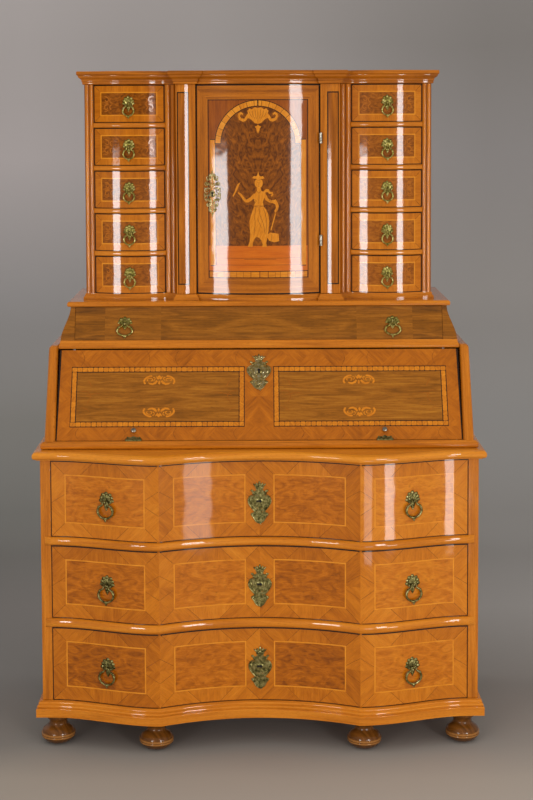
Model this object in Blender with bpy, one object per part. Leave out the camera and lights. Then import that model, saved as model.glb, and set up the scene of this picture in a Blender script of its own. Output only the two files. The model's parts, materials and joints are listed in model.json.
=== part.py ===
# Tabernacle secretaire: a serpentine commode, a slant-front desk over it, and on top a tier
# with one long drawer and a tabernacle of ten small drawers round a door.
# Metres, +Z up, front towards -Y, origin on the floor under the middle of the piece.

import bmesh
import bpy
from math import asin, atan, cos, pi, sin
from mathutils import Matrix, Vector

# Overall size and the clearances that every joint shares
depth = 0.640
joint_gap = 0.0003
slide_gap = 0.0008
head_gap = 0.0012
back_board = 0.012
board_overlap = 0.004

# Heights of the layers, from the floor up
foot_height = 0.080
plinth_height = 0.044
lower_drawer_height = 0.205
lower_rail_height = 0.025
middle_drawer_height = 0.203
upper_rail_height = 0.023
upper_drawer_height = 0.212
commode_top_height = 0.025
ledge_height = 0.021
desk_height = 0.2355
tier_base_height = 0.0245
tier_height = 0.0925
tier_top_height = 0.0145
tabernacle_base_height = 0.017
tabernacle_height = 0.595
cornice_height = 0.038

# Serpentine plan of the commode: hollow middle, arrises, cyma curves out to the posts
body_half = 0.599
side_thickness = 0.028
arris_x = 0.2714
arris_swell = 0.070
centre_hollow = 0.062
nosing_out = 0.020
rail_out = 0.012
rail_tip = 0.017
plinth_out = 0.017
wing_steps = 8
hollow_steps = 8

# Feet
foot_radius = 0.0465
foot_sides = 16
outer_foot_inset = 0.039
outer_foot_setback = 0.025
inner_foot_outset = 0.0136
inner_foot_setback = 0.048
rear_foot_setback = 0.065

# Large drawers
drawer_front_thickness = 0.022
drawer_side = 0.012
drawer_bottom = 0.008
drawer_back_room = 0.004
groove_lift = 0.001
lock_width = 0.060
lock_height = 0.052
lock_depth = 0.012
lock_drop = 0.004

# Desk
ledge_half = 0.5995
ledge_front = -0.216
ledge_round = 0.007
desk_inset = 0.0095
desk_side_thickness = 0.030
flap_foot = -0.197
flap_top = -0.079
flap_thickness = 0.020
flap_lift = 0.0006
flap_head_gap = 0.0016
roll_out = 0.012
roll_round = 0.012
bed_thickness = 0.020
bed_front = -0.160
flap_hinge_x = 0.3455
flap_hinge_length = 0.046
flap_hinge_radius = 0.0052
hinge_sides = 12

# Tier
tier_base_inset = 0.0359
tier_base_front = -0.0745
tier_base_round = 0.0055
ogee_foot_inset = 0.0056
ogee_foot_front = -0.067
ogee_run = 0.026
ogee_steps = 7
tier_end_thickness = 0.040
tier_front_thickness = 0.016
tier_top_inset = 0.0229
tier_top_front = -0.050
tier_top_round = 0.0055

# Tabernacle
tabernacle_inset = 0.0467
outer_stile = 0.026
inner_stile = 0.033
pilaster_width = 0.056
opening_half = 0.177
tower_front = 0.028
tower_bow = 0.024
pilaster_front = -0.008
pilaster_depth = 0.040
moulding_break = 0.008
door_front = -0.002
door_bow = 0.034
door_thickness = 0.020
door_side_gap = 0.002
divider_height = 0.0143
divider_out = 0.004
reed_steps = 4
tower_drawer_rows = 5
bow_steps = 6
door_steps = 10
base_out = 0.008
cornice_out = 0.0207
small_drawer_front = 0.012
small_drawer_side = 0.008
small_drawer_bottom = 0.006
door_knuckle_radius = 0.0042
door_knuckle_length = 0.028
door_knuckle_x = 0.0005
door_hinge_low = 0.152
door_hinge_high = 0.442
door_lock_width = 0.040
door_lock_edge = 0.012
door_lock_height = 0.090
door_lock_middle = 0.284

# Bail pulls: width and drop of the bail, rise and fall of its plate from the axle
large_bail_width = 0.047
large_bail_drop = 0.050
large_plate_rise = 0.028
large_plate_fall = 0.027
large_plate_width = 0.042
large_pull_inset = 0.156
medium_bail_width = 0.046
medium_bail_drop = 0.037
medium_plate_rise = 0.0175
medium_plate_fall = 0.016
medium_plate_width = 0.040
medium_pull_inset = 0.1402
tier_bail_kick = 0.0068
small_bail_width = 0.032
small_bail_drop = 0.038
small_plate_rise = 0.022
small_plate_fall = 0.018
small_plate_width = 0.026
bail_wire = 0.0021
bail_bar = 0.0058
bail_bar_radius = 0.0016
bail_sides = 5
axle_out = 0.0095
eye_width = 0.0040
eye_radius = 0.0050
eye_hole = 0.0023
eye_sides = 10
plate_proud = 0.0016
plate_sunk = 0.0050

# Profiles, as shares of a moulding's projection and height, from its foot up
plinth_shares = [(1, 0), (1, 0.50), (0.86, 0.56), (0.80, 0.70), (0.45, 0.84), (0.30, 1)]
nosing_shares = [(0.45, 0), (0.80, 0.10), (1, 0.36), (1, 0.60), (0.78, 0.88), (0.40, 1)]
rail_shares = [(0.20, 0), (0.76, 0.14), (1, 0.42), (0.97, 0.64), (0.66, 0.90), (0.20, 1)]
ledge_shares = [(0, 0), (1, 0.20), (1, 0.55), (0.55, 0.82), (0, 1)]
tier_base_shares = [(0.10, 0), (1, 0.14), (1, 0.52), (0.50, 0.66), (0.30, 0.88), (0, 1)]
tier_top_shares = [(0, 0), (1, 0.22), (1, 0.70), (0.35, 1)]
tabernacle_base_shares = [(1, 0), (1, 0.38), (0.66, 0.58), (0.30, 0.80), (0.30, 1)]
base_sink_share = -0.2
cornice_shares = [
    (0.10, 0), (0.26, 0.10), (0.26, 0.24), (0.55, 0.44), (0.84, 0.66), (1, 0.78), (0.94, 1),
]
foot_shares = [
    (0.60, 0), (0.88, 0.07), (1, 0.27), (0.97, 0.44), (0.74, 0.58),
    (0.47, 0.66), (0.45, 0.76), (0.70, 0.84), (0.72, 0.94), (0.62, 1),
]
divider_shares = [(0, 0), (1, 0.25), (1, 0.75), (0, 1)]
bail_shares = [(0.34, -0.13), (0.55, -0.30), (0.93, -0.44), (1, -0.62), (0.80, -0.82), (0.36, -0.93)]
bail_tip_share = 0.97
bail_tip_swell_share = 1.6
plate_shares = [
    (0, 1), (0.42, 0.90), (0.80, 0.68), (1, 0.30), (0.62, 0.02),
    (0.44, -0.35), (0.24, -0.72), (0, -1),
]

# Finishes: linear colour, roughness and metallic value
honey_walnut = ((0.46, 0.18, 0.045, 1), 0.28, 0)
dark_walnut = ((0.22, 0.09, 0.028, 1), 0.30, 0)
stained_bun = ((0.10, 0.025, 0.012, 1), 0.22, 0)
carcase_pine = ((0.42, 0.27, 0.13, 1), 0.70, 0)
aged_brass = ((0.30, 0.24, 0.11, 1), 0.42, 1)

# Levels that the layer heights add up to
plinth_low = foot_height
lower_drawer_low = plinth_low + plinth_height
lower_rail_low = lower_drawer_low + lower_drawer_height
middle_drawer_low = lower_rail_low + lower_rail_height
upper_rail_low = middle_drawer_low + middle_drawer_height
upper_drawer_low = upper_rail_low + upper_rail_height
commode_top_low = upper_drawer_low + upper_drawer_height
ledge_low = commode_top_low + commode_top_height
desk_low = ledge_low + ledge_height
tier_base_low = desk_low + desk_height
tier_low = tier_base_low + tier_base_height
tier_top_low = tier_low + tier_height
tabernacle_base_low = tier_top_low + tier_top_height
tabernacle_low = tabernacle_base_low + tabernacle_base_height
cornice_low = tabernacle_low + tabernacle_height
cornice_high = cornice_low + cornice_height

# Places in plan that the driving sizes give
back_y = depth / 2
inside_back = back_y - back_board - joint_gap
arris_front = nosing_out - depth / 2
end_front = arris_front + arris_swell
inside_half = body_half - side_thickness
outer_foot_x = body_half - outer_foot_inset
outer_foot_y = end_front + outer_foot_setback
inner_foot_x = arris_x + inner_foot_outset
inner_foot_y = arris_front + inner_foot_setback
rear_foot_y = back_y - rear_foot_setback
large_pull_x = inside_half - large_pull_inset
desk_half = ledge_half - desk_inset
desk_inside_half = desk_half - desk_side_thickness
tier_base_half = ledge_half - tier_base_inset
ogee_foot_half = tier_base_half - ogee_foot_inset
tier_drawer_half = ogee_foot_half - tier_end_thickness
medium_pull_x = tier_drawer_half - medium_pull_inset
tier_top_half = tier_base_half - tier_top_inset
tabernacle_half = tier_top_half - tabernacle_inset
pilaster_x = opening_half + pilaster_width
tower_in = pilaster_x + inner_stile
tower_out = tabernacle_half - outer_stile
tower_middle = (tower_in + tower_out) / 2
tower_dividers = tower_drawer_rows - 1
tower_drawer_height = (tabernacle_height - tower_dividers * divider_height) / tower_drawer_rows


def clear_scene():
    for thing in list(bpy.data.objects):
        bpy.data.objects.remove(thing, do_unlink=True)


def add_object(name, solid, finish, place=(0, 0, 0), turn=(0, 0, 0)):
    # A solid is drawn round its own origin, which the place and the turn then set in the part
    bmesh.ops.recalc_face_normals(solid, faces=solid.faces)
    mesh = bpy.data.meshes.new(name)
    solid.to_mesh(mesh)
    solid.free()
    thing = bpy.data.objects.new(name, mesh)
    bpy.context.collection.objects.link(thing)
    thing.location = place
    thing.rotation_euler = turn
    colour, roughness, metallic = finish
    material = bpy.data.materials.new(name + "_finish")
    material.use_nodes = True
    shader = material.node_tree.nodes["Principled BSDF"]
    shader.inputs["Base Color"].default_value = colour
    shader.inputs["Roughness"].default_value = roughness
    shader.inputs["Metallic"].default_value = metallic
    mesh.materials.append(material)
    return thing


def add_hung(name, solid, finish, axis):
    # A solid drawn in the part's frame whose origin goes onto its joint's axis
    bmesh.ops.translate(solid, verts=solid.verts, vec=-axis)
    return add_object(name, solid, finish, axis)


def combine(solid, tool, operation):
    # One Boolean step between two solids; both are used up
    pieces = []
    for bm in (solid, tool):
        bmesh.ops.recalc_face_normals(bm, faces=bm.faces)
        mesh = bpy.data.meshes.new("step")
        bm.to_mesh(mesh)
        bm.free()
        piece = bpy.data.objects.new("step", mesh)
        bpy.context.collection.objects.link(piece)
        pieces.append(piece)
    boolean = pieces[0].modifiers.new("step", "BOOLEAN")
    boolean.operation = operation
    boolean.object = pieces[1]
    bpy.context.view_layer.update()
    evaluated = pieces[0].evaluated_get(bpy.context.evaluated_depsgraph_get())
    result = bmesh.new()
    result.from_mesh(evaluated.to_mesh())
    evaluated.to_mesh_clear()
    for piece in pieces:
        mesh = piece.data
        bpy.data.objects.remove(piece, do_unlink=True)
        bpy.data.meshes.remove(mesh)
    return result


def join(solid, *others):
    for other in others:
        solid = combine(solid, other, "UNION")
    return solid


def cut(solid, *others):
    for other in others:
        solid = combine(solid, other, "DIFFERENCE")
    return solid


def loft(rings):
    # Walls between rings of equal count, closed by the first and the last ring
    bm = bmesh.new()
    loops = [[bm.verts.new(point) for point in ring] for ring in rings]
    for low, high in zip(loops, loops[1:]):
        for k in range(len(low)):
            n = (k + 1) % len(low)
            bm.faces.new((low[k], low[n], high[n], high[k]))
    bm.faces.new(reversed(loops[0]))
    bm.faces.new(loops[-1])
    return bm


def prism(outline, low, high):
    return loft([[Vector((p[0], p[1], z)) for p in outline] for z in (low, high)])


def block(x0, x1, y0, y1, z0, z1):
    return prism([(x0, y0), (x1, y0), (x1, y1), (x0, y1)], z0, z1)


def slab_across(outline, x0, x1):
    # An outline in the side view, (y, z), drawn out from x0 to x1
    return loft([[Vector((x, p[0], p[1])) for p in outline] for x in (x0, x1)])


def rod(centre, radius, length, sides, axis):
    # A round bar about its centre, along X or Z
    rings = []
    for end in (-length / 2, length / 2):
        ring = []
        for k in range(sides):
            angle = 2 * pi * (k + 0.5) / sides
            u, v = radius * cos(angle), radius * sin(angle)
            ring.append(Vector(centre) + (Vector((end, u, v)) if axis == "X" else Vector((u, v, end))))
        rings.append(ring)
    return loft(rings)


def offset_line(points, out):
    # The open line moved outwards by a distance, with mitred corners
    moved = []
    for k, point in enumerate(points):
        ways = [b - a for a, b in zip(points[max(k - 1, 0):k + 1], points[max(k - 1, 0) + 1:k + 2])]
        normals = [Vector((-way.y, way.x)).normalized() for way in ways]
        bisector = sum(normals, Vector((0, 0))).normalized()
        moved.append(point + bisector * (out / bisector.dot(normals[0])))
    return moved


def moulded(line, out, low, high, shares):
    rings = []
    for out_share, height_share in shares:
        z = low + (high - low) * height_share
        rings.append([Vector((p.x, p.y, z)) for p in offset_line(line, out * out_share)])
    return loft(rings)


def mirrored(line):
    return line + [Vector((-p.x, p.y)) for p in reversed(line)]


def straight_line(half, front):
    return mirrored([Vector((half, back_y)), Vector((half, front))])


def front_depth(x):
    # Where the drawer fronts of the commode stand at x
    reach = abs(x)
    if reach < arris_x:
        return arris_front + centre_hollow * (1 - (reach / arris_x) ** 2)
    along = min(1, (reach - arris_x) / (inside_half - arris_x))
    return arris_front + arris_swell * along ** 2 * (3 - 2 * along)


def front_turn(x):
    # Slope of the cyma at x, as an angle about Z
    along = (abs(x) - arris_x) / (inside_half - arris_x)
    slope = arris_swell * 6 * along * (1 - along) / (inside_half - arris_x)
    return atan(slope) * (1 if x > 0 else -1)


def front_line(half):
    wing = [half + (arris_x - half) * k / wing_steps for k in range(wing_steps)]
    hollow = [arris_x * (1 - 2 * k / hollow_steps) for k in range(hollow_steps + 1)]
    across = wing + hollow + [-x for x in reversed(wing)]
    return [Vector((x, front_depth(x))) for x in across]


def carcase_line():
    corner = [Vector((body_half, back_y)), Vector((body_half, end_front))]
    return corner + front_line(inside_half) + [Vector((-p.x, p.y)) for p in reversed(corner)]


def bow(x, middle, half, front, rise):
    return front - rise * (1 - ((x - middle) / half) ** 2)


def tower_bow_line(inner, outer, out):
    # The bowed front of a tower on the right side, from its outer to its inner edge
    line = []
    half = (tower_out - tower_in) / 2
    for k in range(bow_steps + 1):
        x = outer + (inner - outer) * k / bow_steps
        line.append(Vector((x, bow(x, tower_middle, half, tower_front, tower_bow) - out)))
    return line


def tabernacle_line():
    line = [Vector((tabernacle_half, back_y)), Vector((tabernacle_half, tower_front))]
    line += tower_bow_line(tower_in, tower_out, 0)
    line += [Vector((pilaster_x, tower_front)), Vector((pilaster_x, pilaster_front - moulding_break))]
    line += [Vector((opening_half, pilaster_front - moulding_break))]
    half_steps = door_steps // 2
    door = [opening_half * (1 - k / half_steps) for k in range(half_steps)]
    line += [Vector((x, bow(x, 0, opening_half, door_front, door_bow))) for x in door]
    return line + [Vector((0, door_front - door_bow))] + [Vector((-p.x, p.y)) for p in reversed(line)]


def ogee(z):
    # Shares of the tier's ogee: 1 at its foot, 0 at its neck
    share = 1 - min(1, max(0, (z - tier_low) / tier_height))
    return share * share * (3 - 2 * share)


def feet():
    spots = [
        ("front_left_outer", -outer_foot_x, outer_foot_y),
        ("front_left_inner", -inner_foot_x, inner_foot_y),
        ("front_right_inner", inner_foot_x, inner_foot_y),
        ("front_right_outer", outer_foot_x, outer_foot_y),
        ("rear_left", -outer_foot_x, rear_foot_y),
        ("rear_right", outer_foot_x, rear_foot_y),
    ]
    for name, x, y in spots:
        rings = []
        for radius_share, height_share in foot_shares:
            ring = []
            for k in range(foot_sides):
                angle = 2 * pi * k / foot_sides
                reach = foot_radius * radius_share
                z = (foot_height - joint_gap) * height_share
                ring.append(Vector((x + reach * cos(angle), y + reach * sin(angle), z)))
            rings.append(ring)
        thing = add_object("foot_" + name, loft(rings), stained_bun)
        thing.data.shade_smooth()
        thing.data.set_sharp_from_angle(angle=pi / 6)


def carcase():
    plinth = moulded(carcase_line(), plinth_out, plinth_low, lower_drawer_low, plinth_shares)
    add_object("plinth", plinth, honey_walnut)
    top = moulded(carcase_line(), nosing_out, commode_top_low + joint_gap, ledge_low, nosing_shares)
    add_object("commode_top", top, honey_walnut)
    low = lower_drawer_low + joint_gap
    for side, name in ((-1, "left"), (1, "right")):
        x0, x1 = sorted((side * inside_half, side * body_half))
        panel = block(x0, x1, end_front, back_y, low, commode_top_low)
        add_object("commode_side_" + name, panel, honey_walnut)
    half = inside_half - joint_gap
    back = block(-half, half, back_y - back_board, back_y, low, commode_top_low)
    add_object("commode_back", back, carcase_pine)
    drawer_rail("drawer_rail_lower", lower_rail_low, middle_drawer_low)
    drawer_rail("drawer_rail_upper", upper_rail_low, upper_drawer_low)


def drawer_rail(name, low, high):
    # A dust board whose rounded nose laps the posts with pointed ends
    half = inside_half - joint_gap
    lap = end_front - joint_gap
    rings = []
    for out_share, height_share in rail_shares:
        nose = offset_line(front_line(inside_half), rail_out * out_share)
        corner = [Vector((half, inside_back)), Vector((half, lap)), Vector((inside_half + rail_tip, lap))]
        line = corner + nose + [Vector((-p.x, p.y)) for p in reversed(corner)]
        z = low + (high - low) * height_share
        rings.append([Vector((p.x, p.y, z)) for p in line])
    add_object(name, loft(rings), honey_walnut)


def large_drawers():
    layers = [
        ("lower", lower_drawer_low, lower_rail_low),
        ("middle", middle_drawer_low, upper_rail_low),
        ("upper", upper_drawer_low, commode_top_low),
    ]
    half = inside_half - slide_gap
    rear = inside_back - drawer_back_room
    for name, floor, ceiling in layers:
        low, high = floor + joint_gap, ceiling - head_gap
        face = front_line(half)
        inside = offset_line(face, -drawer_front_thickness)
        front = prism(face + inside[::-1], low, high)
        behind = front_depth(0) + drawer_front_thickness
        lock_high = high - lock_drop
        lock = block(-lock_width / 2, lock_width / 2, behind - board_overlap, behind + lock_depth,
                     lock_high - lock_height, lock_high)
        front = join(front, lock)
        start = front_depth(half) + drawer_front_thickness + joint_gap
        ends = half - drawer_side
        walls = [
            (half, start), (half, rear), (-half, rear), (-half, start),
            (-ends, start), (-ends, rear - drawer_side), (ends, rear - drawer_side), (ends, start),
        ]
        # The bottom board sits in the walls and follows the back of the front
        wide, deep = half - board_overlap, rear - board_overlap
        nose = offset_line(face, -drawer_front_thickness - joint_gap)
        nose = [(p.x, p.y) for p in nose if abs(p.x) < ends]
        bottom = [(wide, deep), (wide, start)] + nose + [(-wide, start), (-wide, deep)]
        box = join(prism(walls, low, high), prism(bottom, low + groove_lift, low + drawer_bottom))
        add_object("drawer_%s_box" % name, box, carcase_pine)
        middle = (floor + ceiling) / 2
        for side, hand in ((-1, "left"), (1, "right")):
            x = side * large_pull_x
            fitting = (large_plate_rise, large_plate_fall, large_plate_width)
            bail = (large_bail_width, large_bail_drop)
            seat = Vector((x, front_depth(x), middle))
            label = "pull_%s_%s" % (name, hand)
            front = add_pull(front, label, seat, front_turn(x), 0, fitting, bail)
        add_object("drawer_" + name, front, honey_walnut)


def local_frame(seat, turn, tilt=0):
    return Matrix.Translation(seat) @ Matrix.Rotation(turn, 4, "Z") @ Matrix.Rotation(tilt, 4, "X")


def add_pull(front, name, seat, turn, tilt, fitting, bail, kick=0):
    # Plate and eye are joined to the drawer front, and the bail hangs in the eye as its own piece.
    # In the pull's own frame X runs along the axle, Y goes into the wood and Z is up. A kick is how
    # far a bail's lowest point stands out where it lies on a swelling front.
    rise, fall, width = fitting
    half_outline = []
    for x_share, z_share in plate_shares:
        reach = rise if z_share > 0 else fall
        half_outline.append((width / 2 * x_share, reach * z_share))
    outline = half_outline + [(-x, z) for x, z in reversed(half_outline[1:-1])]
    plate = loft([[Vector((x, y, z)) for x, z in outline] for y in (-plate_proud, plate_sunk)])
    bmesh.ops.transform(plate, matrix=local_frame(seat, turn, tilt), verts=plate.verts)
    front = join(front, plate)
    eye = eye_solid()
    bmesh.ops.transform(eye, matrix=local_frame(seat, turn), verts=eye.verts)
    front = join(front, eye)
    axle = seat + Matrix.Rotation(turn, 3, "Z") @ Vector((0, -axle_out, 0))
    hanging = add_object(name, bail_solid(*bail), aged_brass, axle, (-asin(kick / bail[1]), 0, turn))
    hanging.data.shade_smooth()
    hanging.data.set_sharp_from_angle(angle=pi / 4)
    return front


def eye_solid():
    # A flat eye round the axle, drawn back into the wood as its stem
    hole, rim = [], []
    for k in range(eye_sides):
        angle = 2 * pi * (k + 0.5) / eye_sides
        y, z = cos(angle), sin(angle)
        hole.append((eye_hole * y - axle_out, eye_hole * z))
        stem = y > cos(pi / 3)
        rim.append((plate_sunk if stem else eye_radius * y - axle_out, eye_radius * z))
    bm = bmesh.new()
    sides = []
    for x in (-eye_width / 2, eye_width / 2):
        sides.append([[bm.verts.new((x, y, z)) for y, z in loop] for loop in (rim, hole)])
    for k in range(eye_sides):
        n = (k + 1) % eye_sides
        (rim_a, hole_a), (rim_b, hole_b) = sides
        bm.faces.new((rim_a[k], rim_a[n], rim_b[n], rim_b[k]))
        bm.faces.new((hole_a[n], hole_a[k], hole_b[k], hole_b[n]))
        bm.faces.new((rim_a[n], rim_a[k], hole_a[k], hole_a[n]))
        bm.faces.new((rim_b[k], rim_b[n], hole_b[n], hole_b[k]))
    return bm


def bail_solid(width, drop):
    # A pear-shaped bail: a bar through the eye, arms, and a swelling at the lowest point
    half = [(bail_bar, 0, bail_bar_radius)]
    half += [(width / 2 * x - bail_wire * x, drop * z, bail_wire) for x, z in bail_shares]
    tip = [(0, -drop * bail_tip_share, bail_wire * bail_tip_swell_share)]
    path = half + tip + [(-x, z, r) for x, z, r in reversed(half)]
    bm = bmesh.new()
    rings = []
    for k, (x, z, radius) in enumerate(path):
        before, after = path[k - 1], path[(k + 1) % len(path)]
        way = Vector((after[0] - before[0], 0, after[1] - before[1])).normalized()
        across = Vector((way.z, 0, -way.x))
        ring = []
        for s in range(bail_sides):
            angle = 2 * pi * s / bail_sides
            reach = across * cos(angle) + Vector((0, sin(angle), 0))
            ring.append(bm.verts.new(Vector((x, 0, z)) + reach * radius))
        rings.append(ring)
    for k, ring in enumerate(rings):
        nearby = rings[(k + 1) % len(rings)]
        for s in range(bail_sides):
            n = (s + 1) % bail_sides
            bm.faces.new((ring[s], ring[n], nearby[n], nearby[s]))
    return bm


def flap_way():
    # Along the flap's outer face, upwards, in the side view
    return Vector((flap_top - flap_foot, desk_height - flap_lift - flap_head_gap)).normalized()


def desk():
    low, high = desk_low, tier_base_low
    line = straight_line(ledge_half - ledge_round, ledge_front + ledge_round)
    floor = moulded(line, ledge_round, ledge_low + joint_gap, low, ledge_shares)
    half = desk_inside_half - joint_gap
    bed = block(-half, half, bed_front, inside_back, low - board_overlap, low + bed_thickness)
    floor = join(floor, bed)
    axis_z = low + flap_lift
    # The hinge barrels are let into the ledge, and the flap's foot has a pocket round each
    centres = [(hand * flap_hinge_x, flap_foot, axis_z) for hand in (-1, 1)]
    barrels = [rod(centre, flap_hinge_radius, flap_hinge_length, hinge_sides, "X") for centre in centres]
    add_object("desk_floor", join(floor, *barrels), honey_walnut)

    way = flap_way()
    outward = Vector((-way.y, way.x))
    for side, name in ((-1, "left"), (1, "right")):
        start = Vector((flap_foot, axis_z)) + outward * roll_out
        foot = start - way * ((start.y - low - joint_gap) / way.y)
        head = start + way * ((high - start.y) / way.y)
        outline = [(back_y, low + joint_gap), tuple(foot), tuple(head), (back_y, high)]
        x0, x1 = sorted((side * desk_inside_half, side * desk_half))
        panel = slab_across(outline, x0, x1)
        rounded = []
        for edge in panel.edges:
            ends = [v.co for v in edge.verts]
            front = all((v.yz - foot).length < joint_gap or (v.yz - head).length < joint_gap for v in ends)
            outer = all(abs(v.x) > desk_half - joint_gap for v in ends)
            along = abs(ends[0].x - ends[1].x) < joint_gap
            top = all(abs(v.z - high) < joint_gap for v in ends)
            if (front and along) or (front and top) or (outer and top):
                rounded.append(edge)
        bmesh.ops.bevel(panel, geom=rounded, offset=roll_round, segments=3, affect="EDGES",
                        profile=0.5, clamp_overlap=True)
        add_object("desk_side_" + name, panel, honey_walnut)

    back = block(-half, half, back_y - back_board, back_y, low + joint_gap, high)
    add_object("desk_back", back, carcase_pine)

    foot = Vector((flap_foot, axis_z))
    head = foot + way * ((desk_height - flap_lift - flap_head_gap) / way.y)
    foot_in = (flap_foot + flap_thickness / way.y, axis_z)
    head_in = head - outward * flap_thickness
    half = desk_inside_half - slide_gap
    flap = slab_across([tuple(foot), foot_in, tuple(head_in), tuple(head)], -half, half)
    inner = head - outward * (flap_thickness - board_overlap) - way * lock_drop
    deep = outward * (lock_depth + board_overlap)
    lock = [inner, inner - way * lock_height, inner - way * lock_height - deep, inner - deep]
    flap = join(flap, slab_across([tuple(p) for p in lock], -lock_width / 2, lock_width / 2))
    room, length = flap_hinge_radius + joint_gap, flap_hinge_length + 2 * joint_gap
    flap = cut(flap, *[rod(centre, room, length, hinge_sides, "X") for centre in centres])
    add_hung("flap", flap, honey_walnut, Vector((0, flap_foot, axis_z)))


def tier():
    low = tier_base_low + joint_gap
    line = straight_line(tier_base_half - tier_base_round, tier_base_front + tier_base_round)
    base = moulded(line, tier_base_round, low, tier_low, tier_base_shares)
    levels = [tier_low - board_overlap]
    levels += [tier_low + tier_height * k / ogee_steps for k in range(ogee_steps + 1)]
    inner = tier_drawer_half + slide_gap
    for side in (-1, 1):
        rings = []
        for z in levels:
            run = ogee_run * (1 - ogee(z))
            outer = ogee_foot_half - run
            front = ogee_foot_front + run
            rings.append([
                Vector((side * inner, front, z)), Vector((side * outer, front, z)),
                Vector((side * outer, back_y, z)), Vector((side * inner, back_y, z)),
            ])
        base = join(base, loft(rings))
    wide = inner + board_overlap
    back = block(-wide, wide, back_y - back_board, back_y, tier_low - board_overlap, tier_top_low)
    base = join(base, back)
    add_object("tier_base", base, honey_walnut)

    line = straight_line(tier_top_half - tier_top_round, tier_top_front + tier_top_round)
    top = moulded(line, tier_top_round, tier_top_low + joint_gap, tabernacle_base_low, tier_top_shares)
    # The tabernacle's base moulding is housed in the tier's top board
    shares = [(1, base_sink_share)] + tabernacle_base_shares
    base = moulded(tabernacle_line(), base_out, tabernacle_base_low, tabernacle_low, shares)
    add_object("tabernacle_base", join(top, base), honey_walnut)

    floor, ceiling = tier_low + joint_gap, tier_top_low - head_gap
    rear = inside_back - drawer_back_room
    half = tier_drawer_half
    rings = []
    for k in range(ogee_steps + 1):
        z = floor + (ceiling - floor) * k / ogee_steps
        front = ogee_foot_front + ogee_run * (1 - ogee(z))
        corners = [(half, rear), (half, front), (-half, front), (-half, rear)]
        rings.append([Vector((x, y, z)) for x, y in corners])
    inner_front = ogee_foot_front + ogee_run + tier_front_thickness
    side = half - drawer_side
    rear_in = rear - drawer_side
    pocket = [(side, rear_in), (side, inner_front), (-side, inner_front), (-side, rear_in)]
    rings += [[Vector((x, y, z)) for x, y in pocket] for z in (ceiling, floor + drawer_bottom)]
    box = loft(rings)
    middle = tier_low + tier_height / 2
    lean = ogee_run * 1.5 / tier_height
    seat_y = ogee_foot_front + ogee_run * (1 - ogee(middle))
    for hand, name in ((-1, "left"), (1, "right")):
        seat = Vector((hand * medium_pull_x, seat_y, middle))
        fitting = (medium_plate_rise, medium_plate_fall, medium_plate_width)
        bail = (medium_bail_width, medium_bail_drop)
        box = add_pull(box, "pull_tier_" + name, seat, 0, -atan(lean), fitting, bail, tier_bail_kick)
    add_object("tier_drawer", box, dark_walnut)


def reeded_panel(x0, x1):
    # A standing panel on the right side whose front edge is cut into two reeds
    line = []
    for reed in range(2):
        start = x1 + (x0 - x1) * reed / 2
        width = (x0 - x1) / 2
        for k in range(reed_steps):
            angle = pi * k / reed_steps
            line.append((start + width * (1 - cos(angle)) / 2, tower_front + width / 2 * sin(angle)))
    line.append((x0, tower_front))
    return line + [(x0, inside_back), (x1, inside_back)]


def towers():
    low, high = tabernacle_low + joint_gap, cornice_low
    pitch = tower_drawer_height + divider_height
    for side, name in ((-1, "left"), (1, "right")):
        outline = [(side * x, y) for x, y in reeded_panel(tower_out, tabernacle_half)]
        tower = prism(outline, low, high)
        outline = [(side * x, y) for x, y in reeded_panel(pilaster_x, tower_in)]
        partition = prism(outline, low, high)
        x0, x1 = sorted((side * opening_half, side * (pilaster_x + board_overlap)))
        pilaster = block(x0, x1, pilaster_front, pilaster_front + pilaster_depth, low, high)
        partition = join(partition, pilaster)
        for row in range(1, tower_drawer_rows):
            z = tabernacle_low + row * pitch - divider_height
            rings = []
            for out_share, height_share in divider_shares:
                nose = tower_bow_line(tower_in, tower_out, divider_out * out_share)
                nose[0].x += board_overlap
                nose[-1].x -= board_overlap
                line = [Vector((nose[0].x, inside_back))] + nose + [Vector((nose[-1].x, inside_back))]
                level = z + divider_height * height_share
                rings.append([Vector((side * p.x, p.y, level)) for p in line])
            shelf = loft(rings)
            tower = join(tower, shelf)
        tower = join(tower, partition)
        add_object("tower_" + name, tower, honey_walnut)


def small_drawers():
    pitch = tower_drawer_height + divider_height
    rear = inside_back - drawer_back_room
    inner, outer = tower_in + slide_gap, tower_out - slide_gap
    inner_front = tower_front + small_drawer_front
    for side, name in ((-1, "left"), (1, "right")):
        for row in range(tower_drawer_rows):
            floor = tabernacle_low + row * pitch
            low, high = floor + joint_gap, floor + tower_drawer_height - head_gap
            face = tower_bow_line(inner, outer, 0)
            ring = [Vector((outer, rear))] + face + [Vector((inner, rear))]
            a, b = outer - small_drawer_side, inner + small_drawer_side
            flat = [Vector((a + (b - a) * k / bow_steps, inner_front)) for k in range(bow_steps + 1)]
            rear_in = rear - small_drawer_side
            pocket = [Vector((a, rear_in))] + flat + [Vector((b, rear_in))]
            levels = [(ring, low), (ring, high), (pocket, high), (pocket, low + small_drawer_bottom)]
            box = loft([[Vector((side * p.x, p.y, z)) for p in line] for line, z in levels])
            seat = Vector((side * tower_middle, tower_front - tower_bow, (low + high) / 2))
            fitting = (small_plate_rise, small_plate_fall, small_plate_width)
            bail = (small_bail_width, small_bail_drop)
            label = "%s_%d" % (name, tower_drawer_rows - row)
            box = add_pull(box, "pull_small_" + label, seat, 0, 0, fitting, bail)
            add_object("drawer_small_" + label, box, honey_walnut)


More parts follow.
